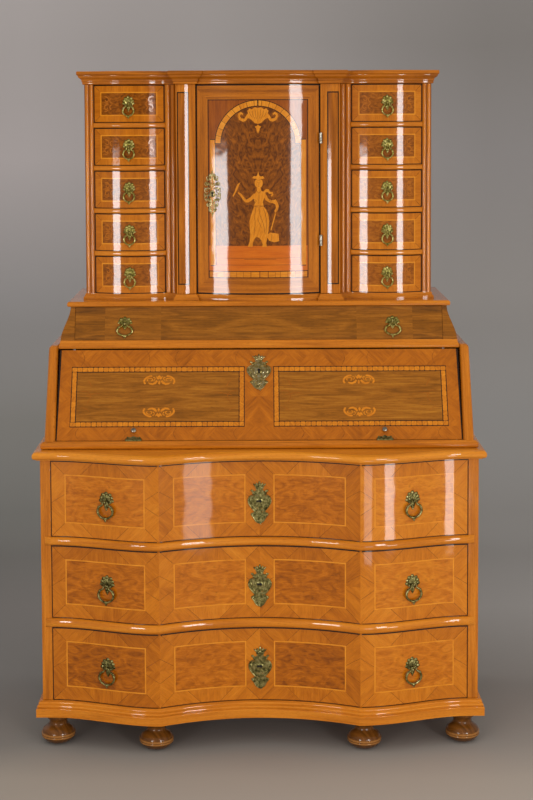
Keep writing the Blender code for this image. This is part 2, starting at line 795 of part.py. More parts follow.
def door():
    low, high = tabernacle_low + head_gap, cornice_low - head_gap
    half = opening_half - door_side_gap
    across = [half * (1 - 2 * k / door_steps) for k in range(door_steps + 1)]
    face = [Vector((x, bow(x, 0, half, door_front, door_bow))) for x in across]
    inside = [Vector((p.x, p.y + door_thickness)) for p in reversed(face)]
    leaf = prism(face + inside, low, high)
    pivot_x = opening_half + door_knuckle_x
    pivot_y = pilaster_front - door_knuckle_radius - joint_gap
    for level in (door_hinge_low, door_hinge_high):
        z = tabernacle_low + level
        knuckle = rod((pivot_x, pivot_y, z), door_knuckle_radius, door_knuckle_length, hinge_sides, "Z")
        strap_front = pivot_y - door_knuckle_radius / 2
        strap_half = door_knuckle_length / 2 - joint_gap
        strap = block(half - 2 * board_overlap, pivot_x, strap_front, door_front + board_overlap,
                      z - strap_half, z + strap_half)
        clear = block(opening_half - joint_gap, pivot_x + door_knuckle_radius, pivot_y + door_knuckle_radius,
                      door_front + 2 * board_overlap, z - door_knuckle_length, z + door_knuckle_length)
        leaf = join(leaf, cut(strap, clear), knuckle)
    lock_x = door_lock_edge - half
    lock_y = bow(lock_x, 0, half, door_front, door_bow) + door_thickness
    middle = tabernacle_low + door_lock_middle
    lock = block(lock_x, lock_x + door_lock_width, lock_y - 2 * lock_depth, lock_y + lock_depth,
                 middle - door_lock_height / 2, middle + door_lock_height / 2)
    trim = prism([(p.x, p.y + door_thickness / 2) for p in face] + [(-half, -depth), (half, -depth)],
                 tabernacle_low, cornice_low)
    leaf = join(leaf, cut(lock, trim))
    add_hung("door", leaf, honey_walnut, Vector((pivot_x, pivot_y, low)))


def tabernacle():
    cornice = moulded(tabernacle_line(), cornice_out, cornice_low + joint_gap, cornice_high, cornice_shares)
    add_object("cornice", cornice, honey_walnut)
    back = block(-tabernacle_half, tabernacle_half, back_y - back_board, back_y,
                 tabernacle_low + joint_gap, cornice_low)
    add_object("tabernacle_back", back, carcase_pine)
    towers()
    small_drawers()
    door()


clear_scene()
feet()
carcase()
large_drawers()
desk()
tier()
tabernacle()
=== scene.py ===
# The looks of a tabernacle secretaire: a serpentine walnut commode, a slant-front desk over it,
# and a tabernacle of ten small drawers round an inlaid door. Metres, +Z up, front towards -Y.
import json
from math import asin, atan, atan2, ceil, cos, pi, radians, sin

import bmesh
import bpy
from mathutils import Matrix, Vector

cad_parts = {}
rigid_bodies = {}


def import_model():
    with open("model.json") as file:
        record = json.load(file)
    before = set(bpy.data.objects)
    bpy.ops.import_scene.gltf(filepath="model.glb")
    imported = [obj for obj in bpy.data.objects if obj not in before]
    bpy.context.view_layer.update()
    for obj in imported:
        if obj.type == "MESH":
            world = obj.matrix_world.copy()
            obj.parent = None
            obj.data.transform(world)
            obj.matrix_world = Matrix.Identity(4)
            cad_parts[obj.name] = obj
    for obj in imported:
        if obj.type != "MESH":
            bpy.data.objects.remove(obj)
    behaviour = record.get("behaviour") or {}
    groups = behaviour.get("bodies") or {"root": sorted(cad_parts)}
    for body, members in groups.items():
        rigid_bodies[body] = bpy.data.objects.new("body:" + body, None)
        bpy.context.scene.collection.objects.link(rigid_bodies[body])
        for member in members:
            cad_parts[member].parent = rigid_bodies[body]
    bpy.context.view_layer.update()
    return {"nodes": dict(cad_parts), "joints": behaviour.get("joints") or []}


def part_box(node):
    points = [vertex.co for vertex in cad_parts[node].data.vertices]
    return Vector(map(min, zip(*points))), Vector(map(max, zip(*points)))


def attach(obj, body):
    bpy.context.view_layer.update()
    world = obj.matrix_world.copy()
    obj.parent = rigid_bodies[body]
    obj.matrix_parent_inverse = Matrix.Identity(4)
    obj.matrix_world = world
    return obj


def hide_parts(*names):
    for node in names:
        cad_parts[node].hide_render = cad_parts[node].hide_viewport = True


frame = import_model()
print("frame loaded")


# Materials

def linear(code):
    # An sRGB hex colour as the linear colour that shaders take
    parts = [int(code[k:k + 2], 16) / 255 for k in (1, 3, 5)]
    return [c / 12.92 if c <= 0.04045 else ((c + 0.055) / 1.055) ** 2.4 for c in parts] + [1]


def addNode(tree, kind, links, stops=(), **settings):
    node = tree.nodes.new(kind)
    for key, value in settings.items():
        setattr(node, key, value)
    for socket, value in links.items():
        if isinstance(value, bpy.types.NodeSocket):
            tree.links.new(value, node.inputs[socket])
        else:
            node.inputs[socket].default_value = value
    if stops:
        ramp = node.color_ramp
        while len(ramp.elements) < len(stops):
            ramp.elements.new(0.5)
        for element, (place, colour) in zip(ramp.elements, stops):
            element.position = place
            element.color = linear(colour) if isinstance(colour, str) else (colour,) * 3 + (1,)
    return node


def newMaterial(name):
    material = bpy.data.materials.new(name)
    material.use_nodes = True
    return material, material.node_tree, material.node_tree.nodes["Principled BSDF"]


# Walnut and its inlays, polished with many thin coats of shellac: a clear gloss over softer wood.
# Lengths are in mm: figure and streak are (along the grain, across it, strength). Real pores are
# 0.2 mm wide, too fine to show, so they are drawn 1.1 mm wide.
woods = {
    # Figured walnut veneer of the large fields: clouded honey brown with small knots
    "figuredWalnut": {
        "colours": ("#7a3b02", "#a45703", "#bb670a", "#d07d17"), "figure": (52, 27, 1.15), "swirl": 2.0,
        "streak": (42, 3.0, 0.45), "eyes": 21, "eyeDepth": 0.42, "pores": 0.24, "rough": (0.34, 0.46),
    },
    # Walnut cut as feather banding: lighter, with its streaks across the band
    "featherWalnut": {
        "colours": ("#844302", "#ad5e07", "#c26f0e", "#d5831d"), "figure": (60, 16, 0.65), "swirl": 0.6,
        "streak": (60, 3.2, 0.36), "pores": 0.2, "rough": (0.34, 0.46),
    },
    # Solid walnut, planed into mouldings and posts: long straight grain
    "mouldedWalnut": {
        "colours": ("#844504", "#b0620d", "#c67316", "#d88724"), "figure": (260, 18, 1.0), "swirl": 0.4,
        "streak": (160, 2.4, 0.6), "pores": 0.25, "rough": (0.30, 0.44),
    },
    # Burr walnut: dark, with swirls and many small eyes
    "burrWalnut": {
        "colours": ("#5c2d02", "#864704", "#9b550b", "#b56a17"), "figure": (30, 20, 1.4), "swirl": 2.4,
        "streak": (30, 4.0, 0.45), "eyes": 16, "eyeDepth": 0.30, "pores": 0.18, "rough": (0.34, 0.46),
    },
    # Olive-toned walnut of the desk panels and the tier drawer
    "oliveWalnut": {
        "colours": ("#5e3602", "#834c06", "#95580d", "#ad6e19"), "figure": (150, 16, 1.3), "swirl": 1.4,
        "streak": (110, 2.6, 0.7), "pores": 0.25, "rough": (0.36, 0.48),
    },
    # Plum wood of the door's spandrels: redder and even
    "plumWood": {
        "colours": ("#743602", "#934907", "#a25509", "#b56613"), "figure": (120, 22, 0.9), "swirl": 0.6,
        "streak": (80, 2.4, 0.6), "pores": 0.2, "rough": (0.32, 0.44),
    },
    # Boxwood stringing, stained honey by the polish
    "boxwood": {
        "colours": ("#b0620c", "#cf7c14", "#dd8c22", "#ea9c34"), "figure": (30, 5, 0.8), "swirl": 0.2,
        "streak": (20, 1.6, 0.5), "pores": 0.1, "rough": (0.30, 0.40),
    },
    # Cherry of the ground under the door's figure, stained orange
    "orangeCherry": {
        "colours": ("#a54a06", "#c25f0b", "#cd6a10", "#d97a1c"), "figure": (90, 14, 0.8), "swirl": 0.4,
        "streak": (70, 2.4, 0.4), "pores": 0.12, "rough": (0.32, 0.44),
    },
    # Ebonised stringing and the lines scraped into the inlay; also the painted shade along the edges of
    # drawers and door and under the rails
    "ebonised": {
        "colours": ("#140a04", "#21120a", "#2f1b0e", "#3f2614"), "figure": (40, 5, 1.0), "swirl": 0.2,
        "streak": (20, 1.5, 0.5), "pores": 0.1, "rough": (0.30, 0.40),
    },
    # Turned feet, stained dark red-brown and polished
    "stainedBun": {
        "colours": ("#3a1e03", "#5c350f", "#784719", "#9a652f"), "figure": (60, 12, 0.9), "swirl": 0.4,
        "streak": (40, 2.4, 0.5), "pores": 0.3, "rough": (0.26, 0.38),
    },
    # Bare pine, planed and browned with age: drawer boxes, dust boards and backs, never polished
    "agedPine": {
        "colours": ("#7d5226", "#a97843", "#c39158", "#d3a56d"), "figure": (420, 26, 1.4), "swirl": 0.5,
        "streak": (300, 3.0, 0.9), "pores": 0.15, "rough": (0.60, 0.75), "coat": 0,
    },
}
polish = {
    "ior": 1.47, "coatRoughness": 0.06, "specular": 0.05, "waveLength": 48, "waveHeight": 0.30,
    # Levels of the figure at which a wood shows its four colours
    "stops": (0.10, 0.40, 0.62, 0.95),
}


def woodFinish(name, look):
    material, tree, shader = newMaterial(name)
    grain = addNode(tree, "ShaderNodeUVMap", {}, uv_map="Grain").outputs["UV"]
    tone = addNode(tree, "ShaderNodeAttribute", {}, attribute_name="leafTone").outputs["Fac"]
    noises = []
    for along, across, detail, swirl in (
            look["figure"][:2] + (4, look["swirl"]), look["streak"][:2] + (3, 0), (14, 1.1, 1, 0)):
        spread = addNode(tree, "ShaderNodeMapping", {
            "Vector": grain, "Scale": (1000 / along, 1000 / across, 1)})
        noises.append(addNode(tree, "ShaderNodeTexNoise", {
            "Vector": spread.outputs["Vector"], "Scale": 1, "Detail": detail, "Roughness": 0.55,
            "Distortion": swirl}).outputs["Fac"])
    figure, streak, pores = noises
    gains = look["figure"][2], look["streak"][2]
    level = addNode(tree, "ShaderNodeMath", {0: figure, 1: gains[0], 2: tone}, operation="MULTIPLY_ADD")
    level = addNode(tree, "ShaderNodeMath", {0: streak, 1: gains[1], 2: level.outputs[0]},
                    operation="MULTIPLY_ADD")
    level = addNode(tree, "ShaderNodeMath", {0: level.outputs[0], 1: 0.5 - sum(gains) / 2})
    colour = addNode(tree, "ShaderNodeValToRGB", {"Fac": level.outputs[0]},
                     stops=list(zip(polish["stops"], look["colours"]))).outputs["Color"]
    marks = [addNode(tree, "ShaderNodeValToRGB", {"Fac": pores},
                     stops=[(0.32, 1 - look["pores"]), (0.44, 1.0)]).outputs["Color"]]
    if look.get("eyes"):
        eyes = addNode(tree, "ShaderNodeTexVoronoi", {
            "Vector": grain, "Scale": 1000 / look["eyes"], "Randomness": 1})
        marks.append(addNode(tree, "ShaderNodeValToRGB", {"Fac": eyes.outputs["Distance"]}, stops=[
            (0.03, 1 - look["eyeDepth"]), (0.10, 0.95), (0.15, 1 - look["eyeDepth"] / 3),
            (0.22, 1.0)]).outputs["Color"])
    for mark in marks:
        colour = addNode(tree, "ShaderNodeMix", {0: 1, 6: colour, 7: mark}, data_type="RGBA",
                         blend_type="MULTIPLY").outputs[2]
    tree.links.new(colour, shader.inputs["Base Color"])
    low, high = look["rough"]
    rough = addNode(tree, "ShaderNodeMapRange", {"Value": streak, 1: 0.3, 2: 0.7, 3: low, 4: high})
    tree.links.new(rough.outputs[0], shader.inputs["Roughness"])
    relief = addNode(tree, "ShaderNodeBump", {"Height": pores, "Strength": 0.35, "Distance": 0.0002})
    tree.links.new(relief.outputs["Normal"], shader.inputs["Normal"])
    shader.inputs["Specular IOR Level"].default_value = polish["specular"]
    worn = addNode(tree, "ShaderNodeAttribute", {}, attribute_name="worn").outputs["Fac"]
    left = addNode(tree, "ShaderNodeMath", {0: look.get("coat", 1), 1: worn}, operation="SUBTRACT",
                   use_clamp=True)
    tree.links.new(left.outputs[0], shader.inputs["Coat Weight"])
    shader.inputs["Coat Roughness"].default_value = polish["coatRoughness"]
    shader.inputs["Coat IOR"].default_value = polish["ior"]
    place = addNode(tree, "ShaderNodeTexCoord", {}).outputs["Object"]
    wave = addNode(tree, "ShaderNodeTexNoise", {
        "Vector": place, "Scale": 1000 / polish["waveLength"], "Detail": 1})
    wave = addNode(tree, "ShaderNodeBump", {
        "Height": wave.outputs["Fac"], "Strength": 1, "Distance": polish["waveHeight"] / 1000})
    tree.links.new(wave.outputs["Normal"], shader.inputs["Coat Normal"])
    return material


# Metals: stops are the colours of its tone from the hollows to the rubbed parts
metals = {
    # Cast brass of the bails and plates, lacquered once and gone green-brown
    "agedBrass": {"colours": ("#4e4a28", "#8e8650", "#bfb47a"), "rough": (0.30, 0.48), "patch": 7},
    # Brass of the small pulls, rubbed brighter and yellow-green
    "brightBrass": {"colours": ("#6e6a2c", "#b0a454", "#e2d48c"), "rough": (0.26, 0.42), "patch": 6},
    # Fire-gilt brass of the desk and door escutcheons, duller in the hollows
    "giltBrass": {"colours": ("#8a7a3c", "#cdb878", "#efe3b4"), "rough": (0.24, 0.40), "patch": 8},
    # Nickelled brass of the two knobs on the flap
    "paleBrass": {"colours": ("#77726a", "#b3ab9c", "#e2dccb"), "rough": (0.24, 0.40), "patch": 6},
    # Filed iron of the lock cases and hinge pins, grey with a brown bloom
    "filedIron": {"colours": ("#4a423a", "#7d766c", "#a8a296"), "rough": (0.32, 0.50), "patch": 12},
}


def metalFinish(name, look):
    material, tree, shader = newMaterial(name)
    place = addNode(tree, "ShaderNodeTexCoord", {}).outputs["Object"]
    patches = addNode(tree, "ShaderNodeTexNoise", {
        "Vector": place, "Scale": 1000 / look["patch"], "Detail": 3}).outputs["Fac"]
    colour = addNode(tree, "ShaderNodeValToRGB", {"Fac": patches},
                     stops=list(zip((0.32, 0.50, 0.70), look["colours"])))
    tree.links.new(colour.outputs["Color"], shader.inputs["Base Color"])
    low, high = look["rough"]
    rough = addNode(tree, "ShaderNodeMapRange", {"Value": patches, 1: 0.3, 2: 0.7, 3: high, 4: low})
    tree.links.new(rough.outputs[0], shader.inputs["Roughness"])
    fine = addNode(tree, "ShaderNodeTexNoise", {"Vector": place, "Scale": 900, "Detail": 1})
    relief = addNode(tree, "ShaderNodeBump", {
        "Height": fine.outputs["Fac"], "Strength": 0.4, "Distance": 0.00015})
    tree.links.new(relief.outputs["Normal"], shader.inputs["Normal"])
    shader.inputs["Metallic"].default_value = 1
    return material


finish = {name: woodFinish(name, look) for name, look in woods.items()}
finish.update({name: metalFinish(name, look) for name, look in metals.items()})


def keyholeDark():
    # Painted shade: the dark inside of a keyhole, laid as a colour on the plate
    material, tree, shader = newMaterial("keyholeDark")
    place = addNode(tree, "ShaderNodeTexCoord", {}).outputs["Object"]
    dust = addNode(tree, "ShaderNodeTexNoise", {"Vector": place, "Scale": 500})
    colour = addNode(tree, "ShaderNodeValToRGB", {"Fac": dust.outputs["Fac"]},
                     stops=[(0.4, "#0a0705"), (0.7, "#1a130d")])
    tree.links.new(colour.outputs["Color"], shader.inputs["Base Color"])
    shader.inputs["Roughness"].default_value = 0.8
    return material


finish["keyholeDark"] = keyholeDark()
print("materials made")


# Mesh tools

def startMesh():
    bm = bmesh.new()
    bm.loops.layers.uv.new("Grain")
    bm.faces.layers.float.new("leafTone")
    bm.faces.layers.float.new("worn")
    return bm


def keepMesh(name, bm):
    bmesh.ops.recalc_face_normals(bm, faces=bm.faces)
    mesh = bpy.data.meshes.new(name)
    bm.to_mesh(mesh)
    bm.free()
    return mesh


def makePiece(name, bm, finishes, body="cabinet", **settings):
    placePiece(name, keepMesh(name, bm), finishes, body, **settings)


# A slot for each finish that is not walnut; placePiece works out a piece's slot from these but gives it to
# nothing
slots = {"agedPine": "carcase_pine", "stainedBun": "stained_bun", **dict.fromkeys(metals, "aged_brass")}


def placePiece(name, mesh, finishes, body, replaced=(), slot="honey_walnut", bevel=0, sharp=30):
    slot = slots.get(finishes[0], slot)
    for key in finishes:
        mesh.materials.append(finish[key])
    mesh.shade_smooth()
    mesh.set_sharp_from_angle(angle=radians(sharp))
    piece = bpy.data.objects.new(name, mesh)
    bpy.context.collection.objects.link(piece)
    if bevel:
        worn = piece.modifiers.new("Worn edges", "BEVEL")
        worn.width, worn.segments, worn.limit_method, worn.angle_limit = bevel, 2, "ANGLE", radians(40)
    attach(piece, body)
    if replaced:
        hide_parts(*replaced)


def camel(node):
    words = node.split("_")
    return words[0] + "".join(word.capitalize() for word in words[1:])


def spread(values, step):
    # The values, with even ones put in wherever two stand further apart than a step
    line = []
    for a, b in zip(values, values[1:]):
        count = max(1, ceil((b - a) / step - 0.001))
        line += [a + (b - a) * k / count for k in range(count)]
    return line + [values[-1]]


def shade(number):
    # An even scatter from -0.5 to 0.5 that is the same on every run
    return (sin(number * 12.9898) * 43758.5453) % 1 - 0.5


def addedFaces(bm, before):
    return [f for f in bm.faces if f not in before]


def facesOf(verts):
    return list(dict.fromkeys(f for v in verts for f in v.link_faces))


def grainFaces(bm, faces, axis, slot=0, tone=0, shift=0):
    # Straight grain along an axis, as on boards and mouldings
    uv, tones = bm.loops.layers.uv["Grain"], bm.faces.layers.float["leafTone"]
    for face in faces:
        face.material_index = slot
        face[tones] = tone
        for loop in face.loops:
            co = loop.vert.co
            loop[uv].uv = co[axis] + shift, co.x + co.y + co.z - co[axis] + shift * 0.37


def leafFace(bm, face, slot, turn, tone, shift, sign=1):
    # One veneer leaf of a flat front: its grain turned, and mirrored where sign is -1
    uv, tones = bm.loops.layers.uv["Grain"], bm.faces.layers.float["leafTone"]
    face.material_index = slot
    face[tones] = tone
    for loop in face.loops:
        a, b = loop.vert.co.x * sign, loop.vert.co.z
        loop[uv].uv = (a * cos(turn) + b * sin(turn) + shift, b * cos(turn) - a * sin(turn) + shift * 0.73)


def addBlock(bm, low, high, axis=0, slot=0, tone=0, shift=0):
    low, high = Vector(low), Vector(high)
    size = high - low
    made = bmesh.ops.create_cube(bm, size=1, matrix=Matrix.Translation((low + high) / 2)
                                 @ Matrix.Diagonal((*size, 1)))["verts"]
    grainFaces(bm, facesOf(made), axis, slot, tone, shift)


def addGrid(bm, columns, rows, place):
    # A grid whose columns and rows stand at the given values
    made = bmesh.ops.create_grid(bm, x_segments=len(columns) - 1, y_segments=len(rows) - 1,
                                 size=0.5)["verts"]
    for vert in made:
        vert.co = place(columns[round((vert.co.x + 0.5) * (len(columns) - 1))],
                        rows[round((vert.co.y + 0.5) * (len(rows) - 1))])
    return made


def addLoft(bm, rings, upright=False, slot=0, tone=0, shift=0):
    # Rings of equal count, one above the other, joined into a closed body. The grain runs round
    # the rings, or up across them.
    count, rows = len(rings[0]), len(rings) - 1
    middle = rings[rows // 2]
    run, climb = [0], [0]
    for a, b in zip(middle, middle[1:] + middle[:1]):
        run.append(run[-1] + (b - a).length)
    for low, high in zip(rings, rings[1:]):
        climb.append(climb[-1] + (high[count // 2] - low[count // 2]).length)
    made = bmesh.ops.create_grid(bm, x_segments=count, y_segments=rows, size=0.5)["verts"]
    uv, tones = bm.loops.layers.uv["Grain"], bm.faces.layers.float["leafTone"]
    for face in facesOf(made):
        face.material_index = slot
        face[tones] = tone
        for loop in face.loops:
            a = run[round((loop.vert.co.x + 0.5) * count)] + shift
            b = climb[round((loop.vert.co.y + 0.5) * rows)] + shift * 0.37
            loop[uv].uv = (b, a) if upright else (a, b)
    for vert in made:
        column = round((vert.co.x + 0.5) * count) % count
        vert.co = rings[round((vert.co.y + 0.5) * rows)][column]
    bmesh.ops.remove_doubles(bm, verts=made, dist=1e-6)
    caps = bmesh.ops.holes_fill(bm, edges=[e for e in bm.edges if e.is_boundary], sides=0)["faces"]
    grainFaces(bm, caps, 0, slot, tone, shift)


def addTurned(bm, section, centre, axis, steps):
    # A turned part: its section, (radius, height) in mm from foot to top, spun round an axis
    before = set(bm.verts)
    verts = [bm.verts.new((radius / 1000, 0, height / 1000)) for radius, height in section]
    edges = [bm.edges.new(pair) for pair in zip(verts, verts[1:])]
    bmesh.ops.spin(bm, geom=verts + edges, cent=(0, 0, 0), axis=(0, 0, 1), angle=2 * pi,
                   steps=steps, use_merge=True)
    bmesh.ops.remove_doubles(bm, verts=[v for v in bm.verts if v not in before], dist=1e-6)
    made = [v for v in bm.verts if v not in before]
    grainFaces(bm, facesOf(made), 2)
    turns = {"Z": Matrix.Identity(4), "X": Matrix.Rotation(pi / 2, 4, "Y"),
             "-Y": Matrix.Rotation(pi / 2, 4, "X")}
    bmesh.ops.transform(bm, matrix=Matrix.Translation(centre) @ turns[axis], verts=made)


def addTube(bm, path, radii, sides, closed=False):
    # A round wire along a path that lies in the X-Z plane
    count = len(path) - (0 if closed else 1)
    made = bmesh.ops.create_grid(bm, x_segments=count, y_segments=sides, size=0.5)["verts"]
    out = Vector((0, 1, 0))
    for vert in made:
        k = round((vert.co.x + 0.5) * count) % len(path)
        angle = 2 * pi * round((vert.co.y + 0.5) * sides) / sides
        before = path[k - 1] if closed or k else path[0]
        after = path[(k + 1) % len(path)] if closed or k + 1 < len(path) else path[-1]
        across = (after - before).normalized().cross(out)
        vert.co = path[k] + radii[k] * (across * cos(angle) + out * sin(angle))
    bmesh.ops.remove_doubles(bm, verts=made, dist=1e-6)
    bmesh.ops.holes_fill(bm, edges=[e for e in bm.edges if e.is_boundary], sides=0)


def smoothLine(points, steps=4):
    # Points on a soft curve through the given ones
    line = []
    for k in range(len(points) - 1):
        a, b, c, d = (Vector(points[min(max(k + n, 0), len(points) - 1)]) for n in (-1, 0, 1, 2))
        for step in range(steps):
            t = step / steps
            line.append(0.5 * (2 * b + (c - a) * t + (2 * a - 5 * b + 4 * c - d) * t * t
                               + (3 * b - a - 3 * c + d) * t ** 3))
    return line + [Vector(points[-1])]


arcSteps = 7


def section(corners):
    # A moulding's section from (out, up) corners in mm. A third number bends the run that ends
    # there into an arc: it swells where positive, and is hollow where negative.
    line = [Vector(corners[0][:2])]
    for corner in corners[1:]:
        a, b = line[-1], Vector(corner[:2])
        if len(corner) == 3:
            bulge, half = corner[2], (b - a) / 2
            reach = Vector((half.y, -half.x)) * (1 - bulge * bulge) / (2 * bulge)
            centre = (a + b) / 2 - reach
            for k in range(1, arcSteps):
                line.append(centre + Matrix.Rotation(4 * atan(bulge) * k / arcSteps, 2) @ (a - centre))
        line.append(b)
    return [point / 1000 for point in line]


def offsetLine(line, out):
    # An open line in plan, moved outwards by a distance with mitred corners
    moved = []
    for k, point in enumerate(line):
        ways = [line[n + 1] - line[n] for n in (k - 1, k) if 0 <= n < len(line) - 1]
        normals = [Vector((-way.y, way.x)).normalized() for way in ways]
        bisector = sum(normals, Vector((0, 0))).normalized()
        moved.append(point + bisector * (out / bisector.dot(normals[0])))
    return moved


def addMoulding(bm, line, corners, low, tone=0, shift=0):
    rings = [[Vector((*point, low + up)) for point in offsetLine(line, out)]
             for out, up in section(corners)]
    addLoft(bm, rings, tone=tone, shift=shift)


def mirrored(line):
    return line + [Vector((-p.x, p.y)) for p in reversed(line) if abs(p.x) > 1e-6]


def bisect(bm, faces, point, normal, dist):
    geom = faces + list(dict.fromkeys(e for f in faces for e in f.edges))
    geom += list(dict.fromkeys(v for f in faces for v in f.verts))
    bmesh.ops.bisect_plane(bm, geom=geom, dist=dist, plane_co=point, plane_no=normal)


def cutFaces(bm, inside, point, normal):
    # A straight cut through the faces whose middles pass a test
    bisect(bm, [f for f in bm.faces if inside(f.calc_center_median())], point, normal, 1e-6)


def pushFaces(bm, faces, axis, step):
    # Gives faces a thickness: copies of them, joined at their rim, move along an axis
    made = bmesh.ops.extrude_face_region(bm, geom=faces)["geom"]
    moved = [v for v in made if isinstance(v, bmesh.types.BMVert)]
    for vert in moved:
        vert.co[axis] += step
    return moved


def flatPlace(x, z):
    return Vector((x, 0, z))


def layPanel(bm, x0, x1, z0, z1, look, seed, tone=0):
    # A veneered panel in the flat: a mitred band, a stringing line and the field. The material
    # slots are 0 field, 1 band, 2 line.
    band, line = look["band"], look["line"]
    sign = -1 if x0 + x1 < 0 else 1
    inner = [x0 + band, x0 + band + line, x1 - band - line, x1 - band]
    before = set(bm.faces)
    addGrid(bm, spread([x0] + inner + [x1], look["step"]),
            [z0, z0 + band, z0 + band + line, z1 - band - line, z1 - band, z1], flatPlace)

    def depth(c):
        return min(c.x - x0, x1 - c.x, c.z - z0, z1 - c.z)

    for cx, sx, cz, sz in cornersOf(x0, x1, z0, z1):
        cutFaces(bm, lambda c: 0 < depth(c) < band and abs(c.x - cx) < band and abs(c.z - cz) < band,
                 (cx, 0, cz), (sz, 0, -sx))
    joints = [(x0 + (x1 - x0) * share, lean) for share, lean in look.get("joints", ())]
    for x, lean in joints:
        for cz, sz in ((z0, 1), (z1, -1)):
            cutFaces(bm, lambda c: 0 < depth(c) < band and abs(c.z - cz) < band
                     and x0 + band < c.x < x1 - band, (x, 0, cz + sz * band / 2), (1, 0, lean * sz))
    if joints:
        for cx in (x0, x1):
            cutFaces(bm, lambda c: 0 < depth(c) < band and abs(c.x - cx) < band
                     and z0 + band < c.z < z1 - band, (cx, 0, (z0 + z1) / 2), (0, 0, 1))
    for face in addedFaces(bm, before):
        c = face.calc_center_median()
        left, low = c.x - x0 < x1 - c.x, c.z - z0 < z1 - c.z
        sides, ends = min(c.x - x0, x1 - c.x), min(c.z - z0, z1 - c.z)
        if min(sides, ends) > band + line:
            leafFace(bm, face, 0, look.get("fieldTurn", 0), tone, seed, sign)
        elif min(sides, ends) > band:
            leafFace(bm, face, 2, 0 if ends < sides else pi / 2, 0, seed)
        else:
            cornerWay = atan2(1 if low else -1, 1 if left else -1)
            leaf = (2 if low else 0) + (1 if left else 0)
            turn = cornerWay if joints else (0 if sides < ends else pi / 2)
            if ends < sides and joints:
                sz, cz = (1, z0) if low else (-1, z1)
                past = [(c.x - x) + lean * sz * (c.z - cz - sz * band / 2) > 0 for x, lean in joints]
                if past[0] and not past[-1]:
                    turn, leaf = pi / 2, 8 + leaf // 2
            if sides < ends:
                leaf += 4
            leafTone = tone * 0.5 + look["bandTone"] + look["bandScatter"] * shade(seed + leaf)
            leafFace(bm, face, 1, turn, leafTone, seed + leaf * 0.31, sign)


def cornersOf(x0, x1, z0, z1):
    # The four corners, each with its directions inwards
    return [(cx, sx, cz, sz) for cx, sx in ((x0, 1), (x1, -1)) for cz, sz in ((z0, 1), (z1, -1))]


def thicken(bm, thickness, slot, axis=0):
    # Gives a flat front its thickness, with plain wood on its edges and its back
    bmesh.ops.remove_doubles(bm, verts=bm.verts, dist=1e-6)
    pushFaces(bm, list(bm.faces), 1, thickness)
    plain = [f for f in bm.faces if max(v.co.y for v in f.verts) > thickness / 2]
    grainFaces(bm, plain, axis, slot)


def moveMesh(bm, place):
    bmesh.ops.transform(bm, matrix=place, verts=bm.verts)


def bendTo(bm, place):
    for vert in bm.verts:
        vert.co = place(vert.co)


def bowTo(bm, curve):
    # Bends a flat front to a curve in plan
    for vert in bm.verts:
        vert.co.y += curve(vert.co.x)


def addInlay(bm, outline, slot=0, turn=0, tone=0, lift=0.0002, shift=0, step=0.006):
    # A thin leaf laid on a flat front, cut fine enough to follow a bow
    before = set(bm.faces)
    verts = [bm.verts.new((x, 0, z)) for x, z in outline]
    bm.faces.new(verts)
    if step:
        low, high = min(x for x, z in outline), max(x for x, z in outline)
        for x in spread([low, high], step)[1:-1]:
            bisect(bm, addedFaces(bm, before), (x, 0, 0), (1, 0, 0), 1e-7)
    faces = addedFaces(bm, before)
    for face in faces:
        leafFace(bm, face, slot, turn, tone, shift)
    pushFaces(bm, faces, 1, -lift)


def addEdges(bm, x0, x1, z0, z1, width, slot, step=0.0095):
    # A dark line painted round the edge of a drawer or door: mostly painted shade of the gap round it, with
    # some dirt on the edge
    for a, b, c, d in ((x0, x1, z0, z0 + width), (x0, x1, z1 - width, z1),
                       (x0, x0 + width, z0, z1), (x1 - width, x1, z0, z1)):
        addInlay(bm, [(a, c), (b, c), (b, d), (a, d)], slot, step=step)


glueLine = {"width": 0.0011, "look": {"tone": -0.1, "lift": 0.00012, "step": 0.0095}}


def addJoint(bm, a, b, slot=0):
    # The dark glue line where two leaves of veneer meet
    a, b = Vector(a), Vector(b)
    path = [a.lerp(b, share) for share in (0, 0.04, 0.96, 1)]
    addInlay(bm, ribbon(path, glueLine["width"]), slot, **glueLine["look"])


def addMitres(bm, x0, x1, z0, z1, band, slot=0):
    for cx, sx, cz, sz in cornersOf(x0, x1, z0, z1):
        addJoint(bm, (cx, cz), (cx + sx * band, cz + sz * band), slot)


def ribbon(path, width):
    # The outline of a strip along a path, pointed at both ends
    left, right = [], []
    for k in range(1, len(path) - 1):
        way = (path[k + 1] - path[k - 1]).normalized()
        side = Vector((-way.y, way.x)) * width / 2
        left.append(path[k] + side)
        right.append(path[k] - side)
    return [path[0]] + left + [path[-1]] + right[::-1]


def curl(x, z, start, end, turnFrom, turnTo, count=14):
    # A scroll round a middle: its radius runs from start to end between two angles in degrees
    line = []
    for k in range(count + 1):
        t = k / count
        angle = radians(turnFrom + (turnTo - turnFrom) * t)
        line.append(Vector((x, z)) + Vector((cos(angle), sin(angle))) * (start + (end - start) * t))
    return line


def sector(x, z, inner, outer, a0, a1, count=4):
    # A piece of a round band between two radii and two angles in degrees
    angles = [radians(a0 + (a1 - a0) * k / count) for k in range(count + 1)]
    return ([(x + outer * cos(a), z + outer * sin(a)) for a in angles]
            + [(x + inner * cos(a), z + inner * sin(a)) for a in reversed(angles)])


print("tools ready")

# The room that the solids leave where two of them meet
slack = 0.0003

# Feet

